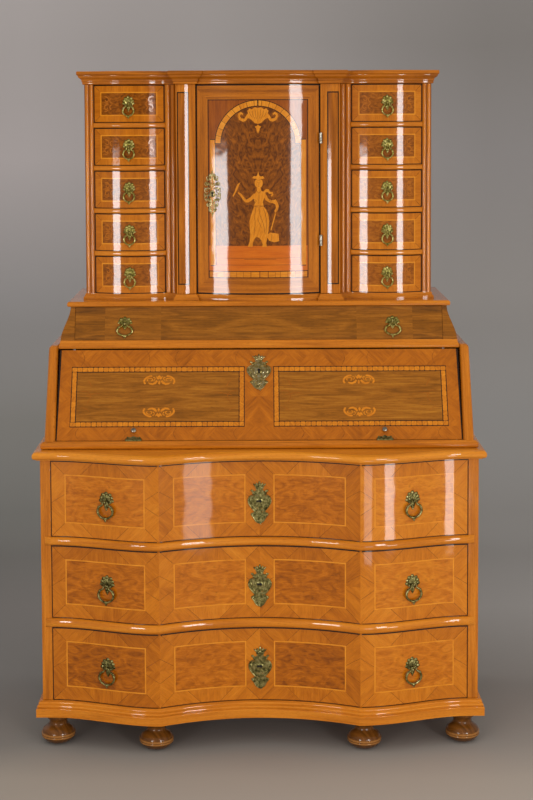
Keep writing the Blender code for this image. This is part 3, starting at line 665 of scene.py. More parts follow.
footShape = {
    "section": [(0, 0), (24, 0), (27, 0.6), (33, 3.5), (40, 9), (44.6, 14.5), (46.3, 18), (46.9, 20),
                (46.4, 21.6), (44.6, 22.2), (44.6, 23.2), (46.6, 23.9), (47.2, 26), (46.6, 28.2),
                (45.2, 28.8), (44.8, 32), (42, 37.5), (36, 43), (29.5, 47.5), (25.8, 52), (24.8, 57),
                (26.2, 62), (30, 67), (34.5, 70.6), (36.6, 72.4), (37.2, 75), (37.0, 79.7), (0, 79.7)],
    # Two pale turned rings, and a darker foot below them
    "steps": 48, "rings": ((18.0, 22.0), (23.4, 28.6)), "ringTone": 0.55, "footTone": -0.15,
}
for node in sorted(n for n in frame["nodes"] if n.startswith("foot_")):
    low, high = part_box(node)
    bm = startMesh()
    addTurned(bm, footShape["section"], ((low.x + high.x) / 2, (low.y + high.y) / 2, 0), "Z",
              footShape["steps"])
    tones = bm.faces.layers.float["leafTone"]
    for face in bm.faces:
        level = face.calc_center_median().z * 1000
        if any(a < level < b for a, b in footShape["rings"]):
            face[tones] = footShape["ringTone"]
        elif level < footShape["rings"][0][0]:
            face[tones] = footShape["footTone"]
    makePiece(camel(node), bm, ["stainedBun"], replaced=[node], sharp=40)
print("feet turned")

# Commode: the serpentine plan is hollow in the middle, with cyma curves from the arrises out
# to the posts

plan = {
    "arris": 0.2714, "front": -0.300, "hollow": 0.062, "swell": 0.070, "inside": 0.571,
    "body": 0.599, "postFront": -0.230, "back": 0.320, "inner": 0.3077, "step": 0.009,
}


def serpentine(x):
    reach = abs(x)
    if reach < plan["arris"]:
        return plan["front"] + plan["hollow"] * (1 - (reach / plan["arris"]) ** 2)
    along = min(1, (reach - plan["arris"]) / (plan["inside"] - plan["arris"]))
    return plan["front"] + plan["swell"] * along ** 2 * (3 - 2 * along)


def breaks(half):
    return [-half, -plan["arris"], 0, plan["arris"], half]


def frontLine(half):
    return [Vector((x, serpentine(x))) for x in reversed(spread(breaks(half), plan["step"]))]


def flipped(line):
    return [Vector((-p.x, p.y)) for p in reversed(line)]


def carcaseLine():
    ends = [Vector((plan["body"], plan["back"])), Vector((plan["body"], plan["postFront"]))]
    return ends + frontLine(plan["inside"]) + flipped(ends)


commodeMouldings = {
    # node: tone, section
    "plinth": (0.15, [(17, 0), (17, 23), (15.8, 24.2), (12.4, 24.6), (12.4, 25.8), (12.4, 32.8, 0.62),
                      (9.4, 33.4), (9.4, 34.4), (8.2, 41.6, 0.34), (5.2, 42.2), (5.2, 43.8)]),
    "commode_top": (0.34, [(7, 0), (9.4, 0), (9.4, 1.6), (11.4, 2.2), (19.6, 12.8, 0.42),
                           (11.4, 23.4, 0.42), (9.6, 23.8), (8, 24.7)]),
}
for node, (tone, corners) in commodeMouldings.items():
    bm = startMesh()
    addMoulding(bm, carcaseLine(), corners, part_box(node)[0].z, tone, len(node))
    makePiece(camel(node) + "Moulding", bm, ["mouldedWalnut"], replaced=[node], bevel=0.0004, sharp=17)

railNose = {
    "lap": 0.017, "tone": 0.16,
    # Out in mm, share of the rail's height, bend
    "section": [(2.4, 0), (10.8, 0.22, 0.25), (10.8, 0.78, 0.16), (2.4, 1, 0.25)],
}
for node in ("drawer_rail_lower", "drawer_rail_upper"):
    low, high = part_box(node)
    tall = (high.z - low.z) * 1000
    half, lap = plan["inside"] - slack, plan["postFront"] - slack
    corner = [Vector((half, plan["inner"])), Vector((half, lap)),
              Vector((plan["inside"] + railNose["lap"], lap))]
    rings = []
    for out, up in section([(x, tall * share, *bend) for x, share, *bend in railNose["section"]]):
        line = corner + offsetLine(frontLine(plan["inside"]), out) + flipped(corner)
        rings.append([Vector((*point, low.z + up)) for point in line])
    bm = startMesh()
    addLoft(bm, rings, tone=railNose["tone"], shift=high.z * 7)
    makePiece(camel(node), bm, ["mouldedWalnut"], replaced=[node], sharp=17)

frontVeneers = ["figuredWalnut", "featherWalnut", "boxwood", "mouldedWalnut", "ebonised"]
sidePanel = {"band": 0.045, "line": 0.0033, "step": 0.3, "bandTone": 0.02, "bandScatter": 0.1,
             "fieldTurn": pi / 2}
for side, node in ((-1, "commode_side_left"), (1, "commode_side_right")):
    low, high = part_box(node)
    bm = startMesh()
    layPanel(bm, low.y + 0.001, high.y, low.z, high.z, sidePanel, seed=4, tone=-0.05)
    thicken(bm, plan["body"] - plan["inside"], 3, axis=2)
    bendTo(bm, lambda co: Vector((side * (plan["body"] - co.y), co.x - 0.001, co.z)))
    makePiece(camel(node), bm, frontVeneers[:4], replaced=[node], bevel=0.0008)

# Backs of upright boards with a shallow open joint between them
backs = {"boards": {"commode_back": 5, "desk_back": 5, "tabernacle_back": 4}, "gap": 0.0002}
for node, count in backs["boards"].items():
    bm = startMesh()
    low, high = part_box(node)
    width = (high.x - low.x) / count
    for k in range(count):
        x = low.x + k * width
        addBlock(bm, (x + backs["gap"], low.y, low.z), (x + width - backs["gap"], high.y, high.z), 2,
                 tone=0.3 * shade(k + high.z), shift=k * 1.3)
    makePiece(camel(node), bm, ["agedPine"], replaced=[node], bevel=0.0008)
print("commode body made")

# Large drawers

largeFront = {
    "thickness": 0.022, "band": 0.038, "line": 0.0033, "step": 0.0095, "bandTone": 0.03,
    "bandScatter": 0.24, "joints": ((0.34, 1), (0.66, -1)), "edge": 0.0018, "shadow": 0.0034,
    # Glue joints of the upright bands: beside an arris and at the ends
    "arrisJoint": (0.034, 0.009), "endJoint": 0.012,
}
largeTones = {"upper": (0.12, 0.13, 0.0, 0.32), "middle": (-0.04, 0.11, -0.08, 0.22),
              "lower": (-0.14, 0.03, -0.14, 0.17)}
drawerBox = {
    "side": 0.012, "bottom": 0.008, "start": 0.0225, "fit": 0.0012,
    # How far the sides and the back stay under the top of the front
    "sideUnder": 0.004, "backUnder": 0.010,
}
lockCase = {"half": 0.030, "tall": 0.052, "deep": 0.010, "under": 0.004, "bolt": 0.009}
for number, layer in enumerate(("lower", "middle", "upper")):
    node = "drawer_" + layer
    low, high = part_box(node)
    half = high.x
    edges = breaks(half)
    bm = startMesh()
    for k, tone in enumerate(largeTones[layer]):
        layPanel(bm, edges[k], edges[k + 1], low.z, high.z, largeFront,
                 seed=number * 2.9 + (5.3 if k in (1, 2) else 0), tone=tone)
    thicken(bm, largeFront["thickness"], 3)
    # Painted shade of the gap round the drawer, as a dark edge line
    addEdges(bm, -half, half, low.z, high.z, largeFront["edge"], 4)
    bowTo(bm, serpentine)
    makePiece(camel(node), bm, frontVeneers, body=node, replaced=[node], bevel=0.0006, sharp=17)
    bm = startMesh()
    band, middle = largeFront["band"], (low.z + high.z) / 2
    for k in range(4):
        x0, x1 = edges[k], edges[k + 1]
        addMitres(bm, x0, x1, low.z, high.z, band)
        for share, lean in largeFront["joints"]:
            x, reach = x0 + (x1 - x0) * share, lean * band / 2
            for z, sz in ((low.z, 1), (high.z, -1)):
                addJoint(bm, (x + reach, z), (x - reach, z + sz * band))
        for x, sx in ((x0, 1), (x1, -1)):
            if abs(abs(x) - plan["arris"]) < 0.001:
                a, b = largeFront["arrisJoint"]
                for sz in (-1, 1):
                    addJoint(bm, (x, middle + sz * a), (x + sx * band, middle + sz * b))
            else:
                rise = largeFront["endJoint"]
                addJoint(bm, (x, middle - rise), (x + sx * band, middle + rise))
    # A dark strip along the top of each drawer: painted shadow under the rail or nosing above it
    shadow = high.z - largeFront["shadow"]
    addInlay(bm, [(-half, shadow), (half, shadow), (half, high.z), (-half, high.z)], 1, lift=0.0003,
             step=largeFront["step"])
    bowTo(bm, serpentine)
    makePiece(camel(node) + "Joints", bm, ["burrWalnut", "ebonised"], body=node)
    rear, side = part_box(node + "_box")[1].y, drawerBox["side"]
    start = plan["postFront"] + drawerBox["start"]
    bm = startMesh()
    for x in (-1, 1):
        ends = sorted((x * half, x * (half - side)))
        top = high.z - drawerBox["sideUnder"]
        addBlock(bm, (ends[0], start, low.z), (ends[1], rear, top), 1, shift=number + x)
    top = high.z - drawerBox["backUnder"]
    addBlock(bm, (side - half, rear - side, low.z), (half - side, rear, top), 0, shift=number)
    made = addGrid(bm, spread(breaks(half - side), 0.03), [0, 1], lambda x, share: Vector((
        x, (serpentine(x) + largeFront["thickness"] + drawerBox["fit"]) * (1 - share) + (rear - side) * share,
        low.z + 0.001)))
    made += pushFaces(bm, facesOf(made), 2, drawerBox["bottom"] - 0.001)
    grainFaces(bm, facesOf(made), 0, shift=number)
    makePiece(camel(node + "_box"), bm, ["agedPine"], body=node, replaced=[node + "_box"],
              bevel=0.0006)
    bm = startMesh()
    behind = serpentine(0) + largeFront["thickness"]
    half, bolt, top = lockCase["half"], lockCase["bolt"], high.z - lockCase["under"]
    addBlock(bm, (-half, behind, top - lockCase["tall"]), (half, behind + lockCase["deep"], top))
    addBlock(bm, (-bolt, behind + 0.003, top - 0.006), (bolt, behind + 0.008, top + 0.0018))
    makePiece(camel(node + "_lock"), bm, ["filedIron"], body=node, bevel=0.0008)
print("large drawers veneered")

# Desk: the ledge and the writing bed, the roll-fronted sides and the sloping flap

desk = {
    "ledgeHalf": 0.5995, "ledgeFront": -0.216, "round": 0.007, "inside": 0.560, "outside": 0.590,
    "bedFront": -0.160, "bed": 0.020, "foot": -0.197, "lift": 0.0006, "top": -0.079, "roll": 0.012,
    "rise": 0.0125, "taper": 0.16,
    "ledge": [(0, 0), (3.6, 0.6, 0.2), (7, 4.6, 0.3), (7, 11.6), (3.4, 17.2, 0.3), (0, 20.7, 0.1)],
}
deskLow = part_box("desk_side_left")[0].z
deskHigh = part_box("desk_side_left")[1].z
sideHigh = deskHigh + desk["rise"]
hinge = Vector((0, desk["foot"], deskLow - slack + desk["lift"]))
slope = Vector((0, desk["top"] - desk["foot"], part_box("flap")[1].z - hinge.z)).normalized()
outward = Vector((0, -slope.z, slope.y))
flapLong = (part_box("flap")[1].z - hinge.z) / slope.z


def plainLine(half, front):
    return mirrored([Vector((half, plan["back"])), Vector((half, front))])


bm = startMesh()
low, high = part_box("desk_floor")
addMoulding(bm, plainLine(desk["ledgeHalf"] - desk["round"], desk["ledgeFront"] + desk["round"]),
            desk["ledge"], low.z, tone=-0.04)
bedHalf = desk["inside"] - slack
addBlock(bm, (-bedHalf, desk["bedFront"], hinge.z - 0.004),
         (bedHalf, plan["inner"], hinge.z - 0.0006 + desk["bed"]), slot=1, tone=-0.1)
makePiece("deskFloor", bm, ["mouldedWalnut", "figuredWalnut"], replaced=["desk_floor"], bevel=0.0005)

for side, node in ((-1, "desk_side_left"), (1, "desk_side_right")):
    start = hinge + outward * desk["roll"]
    foot = start - slope * ((start.z - deskLow) / slope.z)
    head = start + slope * ((sideHigh - start.z) / slope.z)
    bm = startMesh()
    made = bmesh.ops.create_cube(bm, size=1)["verts"]
    for vert in made:
        x = side * (desk["outside"] if vert.co.x > 0 else desk["inside"])
        edge = head if vert.co.z > 0 else foot
        vert.co = Vector((x, edge.y if vert.co.y < 0 else plan["back"], edge.z))
    # The sloping edges, then the front and the outer edge of the top
    upper = [e for e in bm.edges if min(v.co.z for v in e.verts) > sideHigh - 1e-5]
    rolled = [e for e in bm.edges if abs(e.verts[0].co.x - e.verts[1].co.x) < 1e-5
              and max(v.co.y for v in e.verts) < 0.1]
    rolled += [e for e in upper if abs(e.verts[0].co.x - e.verts[1].co.x) > 1e-3 and e.verts[0].co.y < 0.1]
    rolled += [e for e in upper if min(abs(v.co.x) for v in e.verts) > desk["outside"] - 1e-5]
    bmesh.ops.recalc_face_normals(bm, faces=bm.faces)
    bmesh.ops.bevel(bm, geom=list(dict.fromkeys(rolled)), offset=desk["roll"], segments=9,
                    affect="EDGES", profile=0.5, material=-1, clamp_overlap=True)
    grain = bm.loops.layers.uv["Grain"]
    for face in bm.faces:
        for loop in face.loops:
            co = loop.vert.co
            loop[grain].uv = co.dot(slope) + side, co.x + co.dot(outward)
    # Each side narrows upwards, so it clears the moulding that it stands up beside
    for vert in bm.verts:
        share = (vert.co.z - deskLow) / (sideHigh - deskLow)
        vert.co.x += side * (desk["outside"] - abs(vert.co.x)) * desk["taper"] * share
    makePiece(camel(node), bm, ["mouldedWalnut"], replaced=[node], sharp=35)

flapInlay = {
    "half": desk["inside"] - 0.0011, "thickness": 0.020, "out": 0.523, "in": 0.040, "low": 0.0376,
    "high": 0.2122, "band": 0.0165, "edge": 0.0014,
    "joints": (0.085, 0.130, 0.185, 0.240, 0.300, 0.365, 0.430, 0.490),
    "pitch": 0.0145, "wide": 0.0139, "tall": 0.0120, "tone": -0.22, "gap": 0.0030, "wedge": 0.0022,
    "nip": 0.0014, "squareScatter": 0.16,
    # Tones of the frame's leaves, their scatter, and of the left and the right field
    "frameTone": -0.14, "scatter": 0.10, "leftTone": 0.06, "rightTone": 0.10,
    # Joints of the frame veneers: heights of those at the ends, then for those along the foot and
    # the top the place of the joint and which way its middle points
    "endSeams": (0.07, 0.125, 0.18),
    "topSeams": ((-0.498, 1), (-0.315, 1), (-0.225, -1), (-0.056, -1), (0.231, 1), (0.312, -1), (0.495, -1)),
    "footSeams": ((-0.497, -1), (-0.378, 1), (-0.227, -1), (-0.061, -1), (0.114, 1), (0.225, 1), (0.503, -1)),
}


def layFlap(bm):
    half, out, into, low, high, band, edge = (
        flapInlay[k] for k in ("half", "out", "in", "low", "high", "band", "edge"))
    lines = [into, into + edge, into + band - edge, into + band]
    lines += [out - band, out - band + edge, out - edge, out]
    columns = [-half] + [-x for x in reversed(lines)] + [0] + lines + [half]
    rows = [0, low, low + edge, low + band - edge, low + band, (low + high) / 2, high - band,
            high - band + edge, high - edge, high, flapLong]
    addGrid(bm, columns, rows, flatPlace)
    for z0, z1, flip in ((0, low, 1), (high, flapLong, -1)):
        for k, reach in enumerate(flapInlay["joints"]):
            for sign in (-1, 1):
                cutFaces(bm, lambda c: z0 < c.z < z1, (sign * reach, 0, (z0 + z1) / 2),
                         (1, 0, flip * sign * (1 if k % 2 else -1)))
    for sign in (-1, 1):
        for z in flapInlay["endSeams"]:
            cutFaces(bm, lambda c: abs(c.x) > out and c.x * sign > 0, (sign * out, 0, z), (0.6 * sign, 0, 1))
        for x, z in ((sign * out, 0), (sign * out, flapLong)):
            cutFaces(bm, lambda c: abs(c.x) > out - 0.05 and c.x * sign > 0 and abs(c.z - z) < low + 0.01,
                     (sign * half, 0, z), (1, 0, sign * (1 if z == 0 else -1)))
    for face in list(bm.faces):
        c = face.calc_center_median()
        reach, sign = abs(c.x), -1 if c.x < 0 else 1
        outer = min(reach - into, out - reach, c.z - low, high - c.z)
        if outer < 0:
            if low < c.z < high:
                leaf = 40 + ceil((c.z + 0.6 * reach) * 14)
                turn = pi / 4 if ceil(c.z * 18) % 2 else -pi / 4
            else:
                flip = 1 if c.z < low else -1
                middle = flapLong - (flapLong - high) / 2 if c.z > high else low / 2
                leaf = sum((reach - joint) + flip * (1 if k % 2 else -1) * (c.z - middle) > 0
                           for k, joint in enumerate(flapInlay["joints"]))
                turn = flip * (pi / 4 if leaf % 2 else -pi / 4)
            toned = flapInlay["scatter"] * shade(leaf + (3 if c.z < low else 9)) + flapInlay["frameTone"]
            leafFace(bm, face, 1, turn, toned, leaf * 0.7, sign)
        elif outer < band:
            leafFace(bm, face, 3, 0, 0, 0)
        else:
            toned = flapInlay["rightTone" if c.x > 0 else "leftTone"]
            leafFace(bm, face, 0, 0, toned, 2 + (0.4 if c.z > (low + high) / 2 else 0), 1)


bm = startMesh()
layFlap(bm)
thicken(bm, flapInlay["thickness"], 4)
bevelled = flapInlay["thickness"] * slope.y / slope.z
for vert in bm.verts:
    if vert.co.y > 0.01 and vert.co.z < 0.001:
        vert.co.z += bevelled
onFlap = Matrix((
    (1, 0, 0, 0), (0, -outward.y, slope.y, hinge.y), (0, -outward.z, slope.z, hinge.z), (0, 0, 0, 1)))
moveMesh(bm, onFlap)
makePiece("flapBoard", bm, ["oliveWalnut", "featherWalnut", "boxwood", "ebonised", "mouldedWalnut"],
          body="flap", replaced=["flap"], bevel=0.0005)

bm = startMesh()
out, into, low, high, band = (flapInlay[k] for k in ("out", "in", "low", "high", "band"))


def addSquare(x, z, across, up, number):
    # An orange square of the band, its corners nipped
    nip = flapInlay["nip"]
    corners = [(-across, nip - up), (nip - across, -up), (across - nip, -up), (across, nip - up)]
    corners += [(a, -b) for a, b in reversed(corners)]
    addInlay(bm, [(x + a, z + b) for a, b in corners], turn=pi / 2 * (number % 2),
             tone=flapInlay["tone"] + flapInlay["squareScatter"] * shade(number), shift=number * 0.11, step=0)


half, tall = flapInlay["wide"] / 2, flapInlay["tall"] / 2
for sign in (-1, 1):
    count = round((out - into - band) / flapInlay["pitch"])
    for k in range(count + 1):
        x = sign * (into + band / 2 + (out - into - band) * k / count)
        for z in (low + band / 2, high - band / 2):
            addSquare(x, z, half if k % 7 else half * 0.92, tall, k + sign * 40 + z * 100)
    count = round((high - low - band) / flapInlay["pitch"])
    for k in range(1, count):
        z = low + band / 2 + (high - low - band) * k / count
        for x in (sign * (into + band / 2), sign * (out - band / 2)):
            addSquare(x, z, tall, half + 0.0003, k + x * 90)
# Dark wedges at the ends of the flap, wider at the top
end, wedge = flapInlay["half"], flapInlay["wedge"]
for sign in (-1, 1):
    addInlay(bm, [(sign * (end - wedge), 0), (sign * end, 0), (sign * end, flapLong),
                  (sign * (end - flapInlay["gap"] - wedge), flapLong)], slot=1, step=0)
for z0, z1, seams in ((0.002, low - 0.001, "footSeams"), (high + 0.001, flapLong - 0.002, "topSeams")):
    for x, way in flapInlay[seams]:
        path = [Vector((x + reach * way, z0 + (z1 - z0) * share))
                for reach, share in ((0, 0), (0.008, 1 / 3), (0.009, 0.5), (0.008, 2 / 3), (0, 1))]
        addInlay(bm, ribbon(smoothLine(path, 3), glueLine["width"]), slot=2, tone=-0.1, step=0)

# Ornaments of the panels, in mm from their middle: filled leaves, scrolls, and faint twigs at the ends
flapScrolls = {
    "x": 0.278, "low": 0.0805, "high": 0.172, "tone": -0.16,
    "leaves": [
        [(4, 3), (9, 10), (18, 13.5), (27, 11.5), (32, 6), (25, 7), (18, 8), (11, 3), (8, -1)],
        [(0, -15), (6, -10), (10, -13), (7, -5), (3, -2), (0, -6)], [(0, 13), (3.4, 8), (2.4, 3), (0, 1)],
    ],
    "curls": [([(38, 11), (42, 5), (41, -2), (35, -8), (27, -12), (19, -12)], 5.2),
              ([(30, 2), (34, -1), (31, -5), (24, -6), (19, -3), (20, 1), (24, 1)], 2.6),
              ([(16, 1), (12, -4), (13, -8), (18, -9)], 2.4)],
    "twigs": [([(-4, 58), (3, 50), (9, 38)], 1.5), ([(-22, 26), (-2, 24), (6, 8), (-6, -12)], 1.3),
              ([(-8, 14), (4, 16), (20, 20), (34, 19)], 1.3), ([(-18, -20), (-4, -26), (4, -34)], 1.2)],
}


def onPanel(points, x, z, across=1, up=1):
    return [Vector((x + a * across / 1000, z + b * up / 1000)) for a, b in points]


for sign in (-1, 1):
    x = sign * flapScrolls["x"]
    for z, up in ((flapScrolls["low"], 1), (flapScrolls["high"], -1)):
        for s in (-1, 1):
            for leaf in flapScrolls["leaves"]:
                addInlay(bm, onPanel(leaf, x, z, s, up), tone=flapScrolls["tone"], step=0)
            for path, width in flapScrolls["curls"]:
                moved = smoothLine(onPanel(path, x, z, s, up), 3)
                addInlay(bm, ribbon(moved, width / 1000), tone=flapScrolls["tone"], step=0)
    for path, width in flapScrolls["twigs"]:
        for end in (-1, 1):
            moved = smoothLine(onPanel([(end * (196 - a), b) for a, b in path], x, 0.115), 3)
            addInlay(bm, ribbon(moved, width / 1000), slot=3, tone=-0.24, step=0)
moveMesh(bm, onFlap)
makePiece("flapInlay", bm, ["boxwood", "ebonised", "burrWalnut", "featherWalnut"], body="flap")

flapLock = {"half": 0.030, "tall": 0.056, "deep": 0.008, "boltHalf": 0.009}
bm = startMesh()
half, rear, bolt = flapLock["half"], flapInlay["thickness"], flapLock["boltHalf"]
addBlock(bm, (-half, rear, flapLong - flapLock["tall"]), (half, rear + flapLock["deep"], flapLong - 0.004))
addBlock(bm, (-bolt, rear + 0.001, flapLong - 0.012), (bolt, rear + 0.006, flapLong - 0.002))
moveMesh(bm, onFlap)
makePiece("flapLock", bm, ["filedIron"], body="flap", bevel=0.0006)

hingeBarrel = {"x": 0.3455, "length": 46, "radius": 5.2, "knob": 0.0268}
knobShape = [(0, 0), (4.8, 0), (4.8, 1.6), (3.0, 2.6), (3.0, 4), (5.8, 5), (7.2, 7.0), (7.0, 9.0),
             (5.0, 10.8), (0, 11.4)]
for sign, hand in ((-1, "left"), (1, "right")):
    bm = startMesh()
    r, long = hingeBarrel["radius"], hingeBarrel["length"]
    barrel = [(0, 0), (3.4, 0), (r, 1.4), (r, long / 2 - 0.5), (r - 0.6, long / 2), (r, long / 2 + 0.5),
              (r, long - 1.4), (3.4, long), (0, long)]
    addTurned(bm, barrel, (sign * hingeBarrel["x"] - long / 2000, hinge.y, hinge.z), "X", 24)
    makePiece("flapHinge" + hand.capitalize(), bm, ["agedBrass"], sharp=40)
    bm = startMesh()
    addTurned(bm, smoothLine(knobShape, 2), (sign * hingeBarrel["x"], 0, hingeBarrel["knob"]), "-Y", 24)
    moveMesh(bm, onFlap)
    makePiece("flapKnob" + hand.capitalize(), bm, ["paleBrass"], body="flap", sharp=50)
print("desk made")

# Tier: its base moulding, ogee ends and one long drawer

tier = {
    "baseHalf": 0.5636, "baseFront": -0.0745, "round": 0.0055, "footHalf": 0.558, "footFront": -0.067,
    "run": 0.026, "drawerHalf": 0.518, "front": 0.016, "topHalf": 0.5407, "topFront": -0.050,
    "box": {"side": 0.012, "bottom": 0.008}, "clear": 0.0008, "backFrom": 0.308, "step": 0.0045,
    "base": [(0.5, 0), (3.2, 0.8), (5.5, 4.2, 0.3), (5.5, 9.8, 0.22), (3.6, 13.4, 0.25), (2.9, 14.6),
             (2.9, 16.2), (1.2, 20.6, -0.2), (0.9, 24.2)],
    "top": [(0, 0), (3.6, 0.6, 0.2), (5.5, 3.8, 0.3), (5.5, 9.2, 0.12), (3.4, 12.8, 0.3), (1.9, 14.3)],
}
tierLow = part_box("tier_drawer")[0].z - slack
tierTall = 0.0925
# Leaves of the drawer's front: the seams between them, and how far their tones scatter
tierSeams = (-0.518, -0.434, -0.276, 0, 0.276, 0.434, 0.518)
tierScatter = 0.16


def ogee(z):
    share = 1 - min(1, max(0, (z - tierLow) / tierTall))
    return share * share * (3 - 2 * share)


bm = startMesh()
addMoulding(bm, plainLine(tier["baseHalf"] - tier["round"], tier["baseFront"] + tier["round"]),
            tier["base"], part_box("tier_base")[0].z, tone=0.10, shift=2)
levels = [tierLow - 0.004] + spread([tierLow, tierLow + tierTall], tier["step"])
inner = tier["drawerHalf"] + tier["clear"]
for side in (-1, 1):
    rings = []
    for z in levels:
        run = tier["run"] * (1 - ogee(z))
        half, front = tier["footHalf"] - run, tier["footFront"] + run
        rings.append([Vector((side * x, y, z)) for x, y in (
            (inner, plan["back"]), (inner, front), (half, front), (half, plan["back"]))])
    addLoft(bm, rings, slot=2, tone=-0.02, shift=3 + side)
addBlock(bm, (-inner - 0.003, tier["backFrom"], tierLow - 0.003),
         (inner + 0.003, plan["back"], tierLow + tierTall), slot=1)
makePiece("tierBase", bm, ["mouldedWalnut", "agedPine", "oliveWalnut"], replaced=["tier_base"], bevel=0.0004)

bm = startMesh()
low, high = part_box("tier_drawer")
for k, leaf in enumerate(zip(tierSeams, tierSeams[1:])):
    before = set(bm.faces)
    addGrid(bm, leaf, spread([low.z, high.z], tier["step"]), flatPlace)
    for face in addedFaces(bm, before):
        leafFace(bm, face, 0, 0, tierScatter * shade(k + 2), abs(k - 2.5) * 1.7, -1 if k < 3 else 1)
thicken(bm, tier["front"], 1)
bendTo(bm, lambda co: Vector((
    co.x, co.y + tier["footFront"] + tier["run"] * (1 - ogee(co.z) * (1 if co.y < 0.001 else 0)), co.z)))
makePiece("tierDrawer", bm, ["oliveWalnut", "mouldedWalnut"], body="tier_drawer", replaced=["tier_drawer"],
          slot="dark_walnut", bevel=0.0005)


def makeBox(node, start, side, bottom, shift, bevel):
    # Sides, back and bottom of a drawer, of thin pine
    low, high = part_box(node)
    bm = startMesh()
    for x in (low.x, high.x - side):
        addBlock(bm, (x, start, low.z), (x + side, high.y, high.z - 0.003), 1, shift=shift)
    x0, x1, y = low.x + side, high.x - side, high.y - side
    addBlock(bm, (x0, y, low.z), (x1, high.y, high.z - 0.006), 0, shift=shift + 1)
    addBlock(bm, (x0, start, low.z + 0.0005), (x1, y, low.z + bottom), 0, shift=shift + 2)
    makePiece(camel(node) + "Box", bm, ["agedPine"], body=node, bevel=bevel)


makeBox("tier_drawer", tier["footFront"] + tier["run"] + tier["front"], **tier["box"], shift=3, bevel=0.0005)
print("tier made")

# Tabernacle: plan lines first, then its base, towers, small drawers, door and cornice

tabernacle = {
    "rail": [(0, 0), (3.2, 2.2, 0.2), (4, 7.1, 0.12), (3.2, 12.1, 0.12), (0, 14.3, 0.2)],
    "half": 0.494, "towerOut": 0.468, "towerIn": 0.266, "towerFront": 0.028, "bow": 0.024,
    "pilasterOut": 0.233, "opening": 0.177, "pilasterFront": -0.008, "break": 0.008,
    "doorFront": -0.002, "doorBow": 0.034, "divider": 0.0143, "rows": 5, "depth": 0.040, "step": 0.012,
    "base": [(8, -3), (8, 5.6), (6.8, 6.8), (6.4, 8), (3.2, 12.8, -0.25), (2.4, 14.6), (2.4, 16.9)],
    "cornice": [(2.1, 0), (3.4, 0.4), (5.4, 3.2, 0.3), (5.4, 7.6), (7.2, 8.6), (11.5, 17.4, -0.30),
                (17.0, 25.6, 0.30), (18.6, 26.4), (20.7, 28.4), (20.7, 35.2), (19.4, 37.7)],
}
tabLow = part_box("tower_left")[0].z - slack
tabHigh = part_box("tower_left")[1].z
towerMid = (tabernacle["towerIn"] + tabernacle["towerOut"]) / 2
towerHalf = (tabernacle["towerOut"] - tabernacle["towerIn"]) / 2
drawerTall = (tabHigh - tabLow - 4 * tabernacle["divider"]) / tabernacle["rows"]
pitch = drawerTall + tabernacle["divider"]


def towerBow(x):
    return tabernacle["towerFront"] - tabernacle["bow"] * (1 - ((abs(x) - towerMid) / towerHalf) ** 2)


def doorBow(x):
    return tabernacle["doorFront"] - tabernacle["doorBow"] * (1 - (x / tabernacle["opening"]) ** 2)


towerSteps = spread([tabernacle["towerIn"], tabernacle["towerOut"]], tabernacle["step"])[::-1]


def tabernacleLine():
    t = tabernacle
    line = [Vector((t["half"], plan["back"])), Vector((t["half"], t["towerFront"]))]
    line += [Vector((x, towerBow(x))) for x in towerSteps]
    front = t["pilasterFront"] - t["break"]
    line += [Vector((t["pilasterOut"], t["towerFront"])), Vector((t["pilasterOut"], front)),
             Vector((t["opening"], front))]
    return mirrored(line + [Vector((x, doorBow(x))) for x in spread([0, t["opening"]], t["step"])[::-1]])


bm = startMesh()
addMoulding(bm, plainLine(tier["topHalf"] - tier["round"], tier["topFront"] + tier["round"]),
            tier["top"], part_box("tabernacle_base")[0].z, tone=0.02, shift=5)
addMoulding(bm, tabernacleLine(), tabernacle["base"], tabLow - 0.017, tone=0.02, shift=6)
makePiece("tabernacleBase", bm, ["mouldedWalnut"], replaced=["tabernacle_base"], bevel=0.0004)
bm = startMesh()
addMoulding(bm, tabernacleLine(), tabernacle["cornice"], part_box("cornice")[0].z, tone=-0.16, shift=7)
makePiece("corniceMoulding", bm, ["mouldedWalnut"], replaced=["cornice"], bevel=0.0004)


def reededLine(x0, x1, front):
    # From the outer edge x1 to the inner edge x0: two reeds between three flat grooves
    line = []
    groove = reeds["groove"]
    width = (x1 - x0 - 3 * groove) / 2
    for reed in range(2):
        start = x1 - groove - reed * (width + groove)
        line.append((start + groove, front))
        for k in range(reeds["steps"] + 1):
            angle = pi * k / reeds["steps"]
            line.append((start - width * (1 - cos(angle)) / 2,
                         front - reeds["relief"] * width / 2 * sin(angle)))
    line.append((x0, front))
    return line
